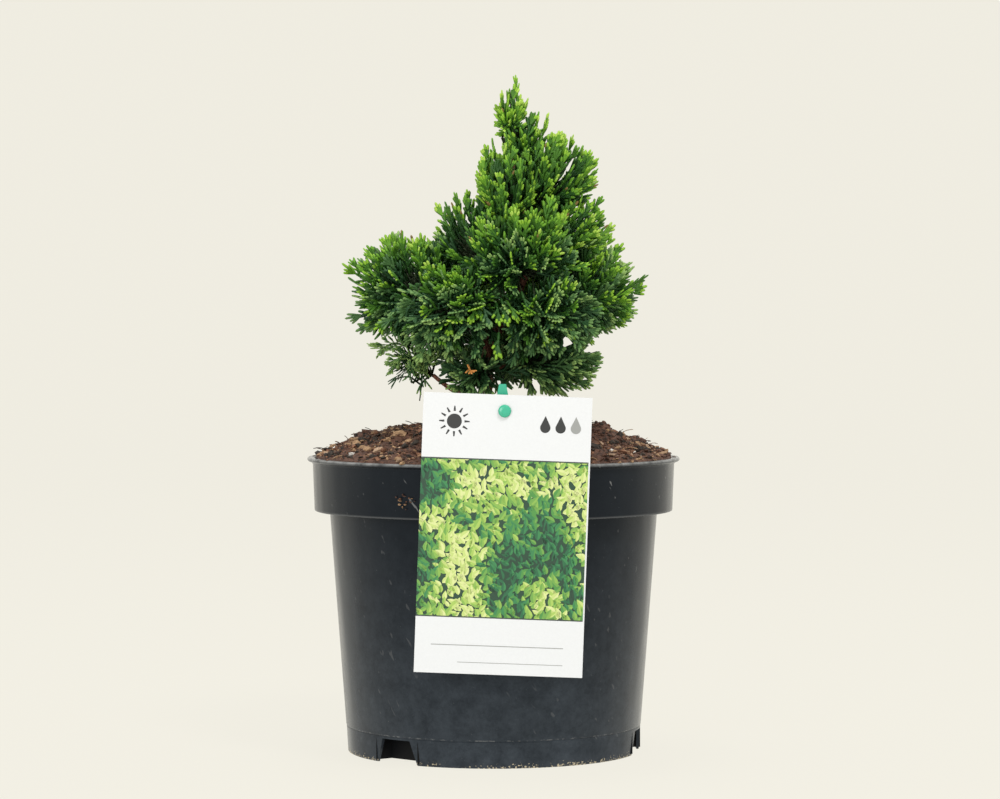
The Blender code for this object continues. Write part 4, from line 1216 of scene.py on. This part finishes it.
def rod_blocks(rods, thickness_share, places, sizes, tip=False):
    """Points of many rods, whose rows start with the rod's start, end, flat side and width.

    Each gets rings of four corners along it, then a point at its blunt end if tip.
    """
    starts, ends, normals, widths = rods[:, 0:3], rods[:, 3:6], rods[:, 6:9], rods[:, 9:10]
    along = ends - starts
    ahead = along / np.linalg.norm(along, axis=1, keepdims=True)
    side = np.cross(ahead, normals)
    side /= np.linalg.norm(side, axis=1, keepdims=True)
    flat = np.cross(side, ahead)
    rings = []
    for place, size in zip(places, sizes):
        centre = starts + along * place
        across = side * (widths * size / 2)
        over = flat * (widths * size * thickness_share / 2)
        rings += [centre + across, centre + over, centre - across, centre - over]
    if tip:
        rings.append(ends)
    return np.stack(rings, axis=1)


def make_foliage():
    """Each lobe's leaves as one piece, and every twig of the crown as another."""
    rng = random.Random("sprays")
    templates = {size: [spray_template(rng, size) for _ in range(SPRAY_TEMPLATES)] for size in SPRAY_SIZES}
    materials = [leaf_material(name, colour) for name, colour in LEAF_SHADES.items()]
    extras = {"low_front": grow_dead_spray, "front_left": grow_fringe, "low_left": grow_wisps}
    sides = ring_faces(len(RING_PLACES), 4, closed_ends=False)
    tip_point = 4 * len(RING_PLACES)
    ends = [(tip_point - 4 + side, tip_point - 4 + (side + 1) % 4, tip_point) for side in range(4)]
    faces = sides + ends
    body_faces = len(sides) - 4
    twigs = []
    for lobe in LOBES:
        growth = Growth()
        grow_lobe(lobe, templates, growth)
        if lobe.name in extras:
            extras[lobe.name](templates, growth)
        twigs += growth.twigs
        leaves = np.concatenate(growth.leaves)
        blocks = rod_blocks(leaves, FINGER_THICKNESS / FINGER_WIDTH, RING_PLACES, RING_SIZES, tip=True)
        slots = np.empty((len(leaves), len(faces)))
        slots[:, :body_faces] = leaves[:, 10:11]
        slots[:, body_faces:] = leaves[:, 11:12]
        piece = block_mesh("sprays_" + lobe.name, blocks, faces, materials, slots)
        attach(piece, "root")
        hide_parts("mass_" + lobe.name)
    twigs = np.array(twigs)
    blocks = rod_blocks(twigs, 1.0, TWIG_PLACES, (1.0, 0.85))
    faces = ring_faces(2, 4)
    materials = [twig_material(*look) for look in TWIG_LOOKS]
    slots = np.repeat((twigs[:, 9:10] < 2 * WOODY_RADIUS).astype(int), len(faces), 1)
    piece = block_mesh("twigs", blocks, faces, materials, slots)
    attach(piece, "root")


# Soil

def from_trunk(x, y):
    return math.hypot(x - TRUNK_AXIS[0][0], y)


def from_clump(x, y):
    return math.hypot(x - ROOT_CLUMP[0], y - ROOT_CLUMP[1])


def soil_surface(x, y):
    """Height of the soil that shows: the solid mound with lumps, and a clump of roots at the right."""
    height = float(soil_height(x, y))
    place = Vector((x, y, 0.37))
    fade = min(1, max(0, (SOIL_RADIUS - math.hypot(x, y)) / (6 * MM)))
    lumps = noise.fractal(place * FINE_LUMPS, 1.0, 2.1, 4) * FINE_LUMP_RISE
    lumps += abs(noise.noise(place * BROAD_LUMPS)) * BROAD_LUMP_RISE
    clump = math.exp(-((from_clump(x, y) / CLUMP_SPREAD) ** 2))
    near_trunk = min(1, max(0.15, (from_trunk(x, y) - TRUNK_CLEARING) / TRUNK_CLEARING))
    return height + (lumps * near_trunk) * (0.35 + 0.65 * fade) + clump * CLUMP_RISE


def make_mound(materials):
    """The mound's lumpy surface, closed below by the wall of the solid."""
    points = ring_points(
        [
            (SEAM_RADIUS - WALL - 1 * MM, FLOOR_UNDER + WALL + 0.3 * MM),
            (BODY_TOP_RADIUS - WALL - 0.5 * MM, BAND_LOW_HEIGHT + WALL + 0.3 * MM),
            (SOIL_RADIUS - 0.8 * MM, BAND_LOW_HEIGHT + WALL + 0.6 * MM),
        ],
        MOUND_SIDES,
    )
    for ring in range(MOUND_RINGS):
        radius = SOIL_RADIUS * (1 - ring / MOUND_RINGS)
        for side in range(MOUND_SIDES):
            angle = math.tau * (side + 0.5 * (ring % 2)) / MOUND_SIDES
            x, y = radius * math.cos(angle), radius * math.sin(angle)
            points.append((x, y, soil_surface(x, y)))
    mound = mesh_object("soil_mound", points, ring_faces(MOUND_RINGS + 3, MOUND_SIDES), materials)
    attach(mound, "root")
    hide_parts("soil")


def rough_lump(rng):
    """Points and faces of an angular crumb of about unit radius."""
    shape = bmesh.new()
    bmesh.ops.create_icosphere(shape, subdivisions=1, radius=1)
    offset = Vector((rng.uniform(-9, 9), rng.uniform(-9, 9), rng.uniform(-9, 9)))
    points = []
    for point in shape.verts:
        swell = 1 + 0.55 * noise.noise(point.co * 1.3 + offset) + 0.2 * noise.noise(point.co * 3 + offset)
        points.append(tuple(point.co * swell))
    faces = [tuple(point.index for point in face.verts) for face in shape.faces]
    shape.free()
    return np.array(points), faces


def soil_place(rng):
    """A random place on the soil and off the trunk, and its height."""
    while True:
        radius = (SOIL_RADIUS - 1 * MM) * math.sqrt(rng.uniform(0, 1))
        angle = rng.uniform(0, math.tau)
        x, y = radius * math.cos(angle), radius * math.sin(angle)
        if from_trunk(x, y) > 7.5 * MM:
            return x, y, soil_surface(x, y)


def make_crumbs(materials):
    """Crumbs and bark chips of all sizes, lying on the mound and half sunk in it, and a few on the lip."""
    rng = random.Random("crumbs")
    shapes = [rough_lump(rng) for _ in range(CRUMB_SHAPES)]
    faces = shapes[0][1]
    blocks = []
    slots = []
    for index in range(CRUMBS):
        points = shapes[rng.randrange(len(shapes))][0]
        size = min(rng.lognormvariate(-0.38, 0.55), LARGEST_CRUMB) * MM
        x, y, z = soil_place(rng)
        if index < LIP_CRUMBS:
            angle = rng.uniform(0, math.tau)
            radius = rng.uniform(91, 94) * MM
            x, y, z = radius * math.cos(angle), radius * math.sin(angle), POT_HEIGHT + size * 0.2
        elif index < LIP_CRUMBS + BAND_CRUMBS:
            angle = BAND_CRUMBS_ANGLE + rng.gauss(0, 0.035)
            x, y = BAND_TOP_RADIUS * math.cos(angle), BAND_TOP_RADIUS * math.sin(angle)
            size = rng.uniform(0.35, 0.8) * MM
            z = BAND_CRUMBS_HEIGHT + rng.gauss(0, 2.2) * MM
        stretch = np.array((rng.uniform(0.7, 1.9), rng.uniform(0.7, 1.2), rng.uniform(0.35, 0.9)))
        turn = np.array(Matrix.Rotation(rng.uniform(0, math.tau), 3, "Z"))
        tilt = np.array(Matrix.Rotation(rng.gauss(0, 0.5), 3, (rng.gauss(0, 1), rng.gauss(0, 1), 0.1)))
        blocks.append((points * stretch * size) @ tilt.T @ turn.T + (x, y, z + size * 0.2))
        dark_place = noise.noise(Vector((x, y, 0.2)) * 75) + rng.gauss(0, 0.15)
        if from_clump(x, y) < 13 * MM:
            dark_place += 0.7
        weights = DARK_SOIL if dark_place > 0.12 else PALE_SOIL if dark_place < -0.16 else MIXED_SOIL
        slots.append(rng.choices(range(len(weights)), weights)[0])
    slots = np.repeat(np.array(slots)[:, None], len(faces), 1)
    piece = block_mesh("soil_crumbs", np.array(blocks), faces, materials, slots, smooth=False)
    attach(piece, "root")


def make_fibres(materials):
    """Coir fibres and bits of root that lie on the soil and stick out of it."""
    rng = random.Random("fibres")
    rods = []
    for _ in range(FIBRES):
        x, y, z = soil_place(rng)
        clump = from_clump(x, y) < 14 * MM
        place = np.array((x, y, z - 0.3 * MM))
        heading = rng.uniform(0, math.tau)
        rise = rng.uniform(0.0, 1.1 if clump else 0.8)
        length = rng.uniform(*FIBRE_LENGTHS) * MM
        width = rng.uniform(*FIBRE_WIDTHS) * MM
        slot = HUMUS if clump else rng.choice(range(HUMUS + 1))
        for _ in range(FIBRE_STEPS):
            way = np.array((math.cos(heading), math.sin(heading), rise))
            end = place + unit(way) * length / FIBRE_STEPS
            rods.append((*place, *end, *unit(np.cross(way, (0.2, 0.1, 1))), width, slot))
            place = end
            heading += rng.uniform(-0.6, 0.6)
            rise -= rng.uniform(0, 0.35)
            if math.hypot(place[0], place[1]) > SOIL_RADIUS + 2 * MM:
                break
    rods = np.array(rods)
    blocks = rod_blocks(rods, 0.6, TWIG_PLACES, (1.0, 0.9))
    faces = ring_faces(2, 4)
    piece = block_mesh("soil_fibres", blocks, faces, materials, np.repeat(rods[:, 10:11], len(faces), 1))
    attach(piece, "root")


def make_soil():
    materials = [soil_material(*look) for look in SOIL_LOOKS]
    make_mound(materials[:1])
    make_crumbs(materials)
    make_fibres(materials)


# Pot

def pot_profile():
    """The wall's cross-section from the foot's inner edge, with rounded edges at band and lip."""
    soft = 0.5 * MM
    return [
        (FOOT_RADIUS - WALL, 0.15 * MM),
        (FOOT_RADIUS - WALL + 0.25 * MM, 0),
        (FOOT_RADIUS - 0.25 * MM, 0),
        (FOOT_RADIUS, 0.25 * MM),
        (SEAM_RADIUS - 0.25 * MM, SEAM_HEIGHT - 0.7 * MM),
        (SEAM_RADIUS - SEAM_DEPTH - 0.2 * MM, SEAM_HEIGHT - 0.3 * MM),
        (SEAM_RADIUS - SEAM_DEPTH, SEAM_HEIGHT + 0.1 * MM),
        (SEAM_RADIUS, SEAM_HEIGHT + 0.6 * MM),
        (BODY_TOP_RADIUS - 0.1 * MM, BAND_LOW_HEIGHT - 2 * MM),
        (BODY_TOP_RADIUS + soft, BAND_LOW_HEIGHT - 0.15 * MM),
        (BAND_LOW_RADIUS - soft, BAND_LOW_HEIGHT),
        (BAND_LOW_RADIUS - 0.12 * MM, BAND_LOW_HEIGHT + 0.15 * MM),
        (BAND_LOW_RADIUS, BAND_LOW_HEIGHT + soft),
        (BAND_TOP_RADIUS, POT_HEIGHT - 3.4 * MM),
        (BAND_TOP_RADIUS + 0.5 * MM, POT_HEIGHT - 2.5 * MM),
        (LIP_RADIUS - 0.5 * MM, POT_HEIGHT - 1.9 * MM),
        (LIP_RADIUS, POT_HEIGHT - 1.4 * MM),
        (LIP_RADIUS, POT_HEIGHT - 0.6 * MM),
        (LIP_RADIUS - 0.5 * MM, POT_HEIGHT - 0.05 * MM),
        (LIP_RADIUS - 1.2 * MM, POT_HEIGHT),
        (BAND_TOP_RADIUS - WALL + 0.5 * MM, POT_HEIGHT),
        (BAND_TOP_RADIUS - WALL, POT_HEIGHT - 0.5 * MM),
        (BAND_LOW_RADIUS - WALL, BAND_LOW_HEIGHT + WALL),
        (BODY_TOP_RADIUS - WALL, BAND_LOW_HEIGHT + WALL),
        (SEAM_RADIUS - WALL - SEAM_DEPTH, FLOOR_UNDER + WALL),
    ]


def make_pot():
    """The turned pot with its floor, three notches in the foot and a ring of drain holes."""
    profile = pot_profile()
    points = ring_points([*profile, (FOOT_RADIUS - WALL, FLOOR_UNDER)], POT_SEGMENTS)
    faces = ring_faces(len(profile), POT_SEGMENTS, closed_ends=False)
    inner_floor = (len(profile) - 1) * POT_SEGMENTS
    outer_floor = inner_floor + POT_SEGMENTS
    for side in range(POT_SEGMENTS):
        beside = (side + 1) % POT_SEGMENTS
        faces.append((side, outer_floor + side, outer_floor + beside, beside))
    faces.append(tuple(inner_floor + side for side in range(POT_SEGMENTS)))
    faces.append(tuple(outer_floor + side for side in reversed(range(POT_SEGMENTS))))
    pot = with_outward_faces(mesh_object("pot_shell", points, faces, [pot_material()]))
    for angle in NOTCH_ANGLES:
        cut(pot, notch_cutter(angle))
    for hole in range(DRAIN_HOLES):
        cut(pot, drain_cutter(NOTCH_ANGLES[0] + math.tau * hole / DRAIN_HOLES))
    pot.data.shade_smooth()
    pot.data.set_sharp_from_angle(angle=SHARP_ANGLE)
    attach(pot, "root")
    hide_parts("pot")
    make_notch_shade_pockets()


def make_notch_shade_pockets():
    """Dark pockets behind the notches that paint the shade in them: a back wall, two sides and a roof, open
    to the front, so that the notches show darkness instead of the pale floor under the pot.
    """
    points = []
    faces = []
    roof = FLOOR_UNDER - 0.1 * MM
    for angle in NOTCH_ANGLES:
        turn = Matrix.Rotation(angle, 3, "Z")
        start = len(points)
        for grow in (0.0, POCKET_WALL):
            for radius, half_width in (
                (FOOT_RADIUS - WALL, NOTCH_HALF_WIDTH + 0.5 * MM),
                (FOOT_RADIUS - WALL - NOTCH_POCKET_DEPTH, NOTCH_HALF_WIDTH - 2 * MM),
            ):
                for across in (-1, 1):
                    for height in (1.0 * MM, roof - grow):
                        place = Vector((radius + grow, across * (half_width - grow), height))
                        points.append(turn @ place)
        # Each corner's number is 8 for the inner skin, 4 for the back, 2 for the far side and 1 for the top
        outer = [(4, 5, 7, 6), (0, 1, 5, 4), (2, 6, 7, 3), (1, 3, 7, 5)]
        rims = [(0, 4, 12, 8), (4, 6, 14, 12), (6, 2, 10, 14), (0, 8, 9, 1), (1, 9, 11, 3), (3, 11, 10, 2)]
        for face in outer:
            faces.append(tuple(start + corner for corner in face))
            faces.append(tuple(start + corner + 8 for corner in reversed(face)))
        faces.extend(tuple(start + corner for corner in rim) for rim in rims)
    # Painted shade: darker and rougher than the pot, so the notches look dark inside
    look = plain_plastic("pot_inner", POT_NOTCH_SHADE, 0.6, specular=0.15)
    pockets = with_outward_faces(mesh_object("pot_notch_pockets", points, faces, [look], smooth=False))
    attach(pockets, "root")


def notch_cutter(angle):
    """A wedge with the notch's trapezoid outline, long enough to pass through the wall."""
    points = []
    for radius in (FOOT_RADIUS - 5 * WALL, FOOT_RADIUS + 5 * WALL):
        for across, height in (
            (-NOTCH_HALF_WIDTH, -2 * WALL),
            (NOTCH_HALF_WIDTH, -2 * WALL),
            (NOTCH_TOP_HALF_WIDTH, NOTCH_HEIGHT),
            (-NOTCH_TOP_HALF_WIDTH, NOTCH_HEIGHT),
        ):
            points.append(Matrix.Rotation(angle, 3, "Z") @ Vector((radius, across, height)))
    return with_outward_faces(mesh_object("notch_cutter", points, ring_faces(2, 4), [], smooth=False))


def drain_cutter(angle):
    """A short upright rod through the floor."""
    middle = Vector((math.cos(angle), math.sin(angle), 0)) * DRAIN_RING_RADIUS
    points = []
    for height in (FLOOR_UNDER - WALL, FLOOR_UNDER + 2 * WALL):
        for side in range(DRAIN_SIDES):
            turn = math.tau * side / DRAIN_SIDES
            rim = Vector((math.cos(turn), math.sin(turn), 0)) * DRAIN_RADIUS
            points.append(middle + rim + Vector((0, 0, height)))
    cutter = mesh_object("drain_cutter", points, ring_faces(2, DRAIN_SIDES), [], smooth=False)
    return with_outward_faces(cutter)


# Label

def on_card(across, up, layer):
    """A place on the card's printed face, from its centre. Each layer of print lies a little further out."""
    out = -(CARD_THICKNESS + PRINT_LIFT * (layer + 1))
    turn = Matrix.Rotation(CARD_ROLL, 3, "Y")
    return Vector((CARD_CENTRE_X, CARD_BACK_Y, CARD_CENTRE_Z)) + turn @ Vector((across, out, up))


class Print:
    """Flat coloured shapes that make up the printing on the card."""

    def __init__(self):
        self.points = []
        self.faces = []
        self.slots = []

    def add(self, outline, layer, slot):
        start = len(self.points)
        self.points.extend(on_card(across, up, layer) for across, up in outline)
        self.faces.append(tuple(range(start, start + len(outline))))
        self.slots.append(slot)

    def box(self, left, right, low, high, layer, slot):
        self.add([(left, low), (right, low), (right, high), (left, high)], layer, slot)

    def disc(self, across, up, radius, layer, slot):
        turns = [math.tau * step / 28 for step in range(28)]
        self.add([(across + radius * math.cos(t), up + radius * math.sin(t)) for t in turns], layer, slot)

    def leaf(self, across, up, length, width, angle, layer, slots, limits):
        """A broad leaf in two halves of different green, from its stalk end, cut off at the limits."""
        along = (math.cos(angle), math.sin(angle))
        beside = (-along[1], along[0])
        for side, slot in zip((1, -1), slots):
            outline = []
            for step in range(7):
                share = step / 6
                bulge = side * width / 2 * math.sin(math.pi * share**0.8)
                place = (across + along[0] * length * share, up + along[1] * length * share)
                outline.append((place[0] + beside[0] * bulge, place[1] + beside[1] * bulge))
            outline = clipped(outline if side < 0 else outline[::-1], limits)
            if len(outline) > 2:
                self.add(outline, layer, slot)


def drop_outline(across, up, size):
    """A water drop, round below and pointed above."""
    outline = []
    for step in range(25):
        angle = math.radians(-215 + 250 * step / 24)
        outline.append((across + size * math.cos(angle), up + size * math.sin(angle)))
    outline.append((across, up + size * 2.3))
    return outline


def print_header(sheet):
    """A plain sun and a row of water drops, as on any plant label, in place of what is left off."""
    sheet.disc(*SUN_PLACE, SUN_RADIUS, 1, BLACK_INK)
    for ray in range(SUN_RAYS):
        angle = math.tau * ray / SUN_RAYS
        along = Vector((math.cos(angle), math.sin(angle)))
        near, far = (Vector(SUN_PLACE) + along * reach for reach in (RAY_NEAR, RAY_FAR))
        half = Vector((-along.y, along.x)) * RAY_HALF_WIDTH
        sheet.add([near - half, far - half * 0.5, far + half * 0.5, near + half], 1, BLACK_INK)
    for index in range(DROPS):
        ink = BLACK_INK if index < DROPS - 1 else GREY_INK
        sheet.add(drop_outline(FIRST_DROP + index * DROP_GAP, DROP_UP, DROP_SIZE), 1, ink)


def clipped(outline, limits):
    """The part of a convex outline within the limits (left, right, low, high)."""
    for axis, limit, sign in ((0, limits[0], 1), (0, limits[1], -1), (1, limits[2], 1), (1, limits[3], -1)):
        kept = []
        for index, point in enumerate(outline):
            before = outline[index - 1]
            inside, inside_before = (sign * (place[axis] - limit) >= 0 for place in (point, before))
            if inside != inside_before:
                share = (limit - before[axis]) / (point[axis] - before[axis])
                kept.append(tuple(b + (p - b) * share for b, p in zip(before, point)))
            if inside:
                kept.append(point)
        outline = kept
    return outline


def print_panel(sheet):
    """The green panel: crowded broad leaves of many greens, with a thin line above and below them."""
    limits = (-CARD_WIDTH / 2, CARD_WIDTH / 2 - PANEL_MARGIN, PANEL_LOW, PANEL_TOP)
    sheet.box(*limits, 0, SHADE_INK)
    rng = random.Random("leaves on the label")
    gap = PANEL_LEAF * 0.45
    layer = 1
    for row in range(int((PANEL_TOP - PANEL_LOW) / gap) + 3):
        for column in range(int(CARD_WIDTH / gap) + 2):
            across = limits[0] + (column + 0.5 * (row % 2)) * gap + rng.uniform(-1, 1) * MM
            up = PANEL_TOP - (row - 0.5) * gap + rng.uniform(-1, 1) * MM
            length = PANEL_LEAF * rng.uniform(0.75, 1.2)
            angle = math.radians(90 + rng.uniform(-75, 75))
            cloud = noise.noise(Vector((across, up, 0.011)) * 55)
            cloud += 0.5 * noise.noise(Vector((across, up, 0.05)) * 160)
            lightness = max(0, round(4 + 6.5 * cloud + rng.gauss(0, 1.1)))
            ink = min(LAST_LEAF_INK, SHADE_INK + lightness)
            layer += LEAF_LAYER
            sheet.leaf(across, up, length, length * 0.5, angle, layer, (ink, ink + 1), limits)
    left, right, low, high = limits
    sheet.box(left, right, high, high + PANEL_LINE, 0, LINE_INK)
    sheet.box(left, right, low - PANEL_LINE, low, 0, LINE_INK)


def print_footer(sheet):
    """Two rules to write a name on."""
    for rule in RULES:
        sheet.box(*(side * MM for side in rule), 0, GREY_INK)


def make_label():
    """The card and the pick keep their solids, and the printing lies on the card's face."""
    for name, finish in (
        ("label_card", plain_plastic("card_white", CARD_WHITE, CARD_FINISH)),
        ("label_pick", plain_plastic("teal_plastic", PICK_TEAL, 0.25)),
    ):
        node = bpy.data.objects[name]
        node.data.materials.clear()
        node.data.materials.append(finish)
    sheet = Print()
    print_header(sheet)
    print_panel(sheet)
    print_footer(sheet)
    inks = [plain_plastic(name, colour, CARD_FINISH, grain=0.08) for name, colour in LABEL_INKS]
    printed = mesh_object("label_print", sheet.points, sheet.faces, inks, sheet.slots, smooth=False)
    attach(printed, "root")


def main():
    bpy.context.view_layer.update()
    make_camera()
    make_lights()
    make_stage()
    make_pot()
    make_soil()
    make_limbs()
    make_foliage()
    make_label()


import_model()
main()
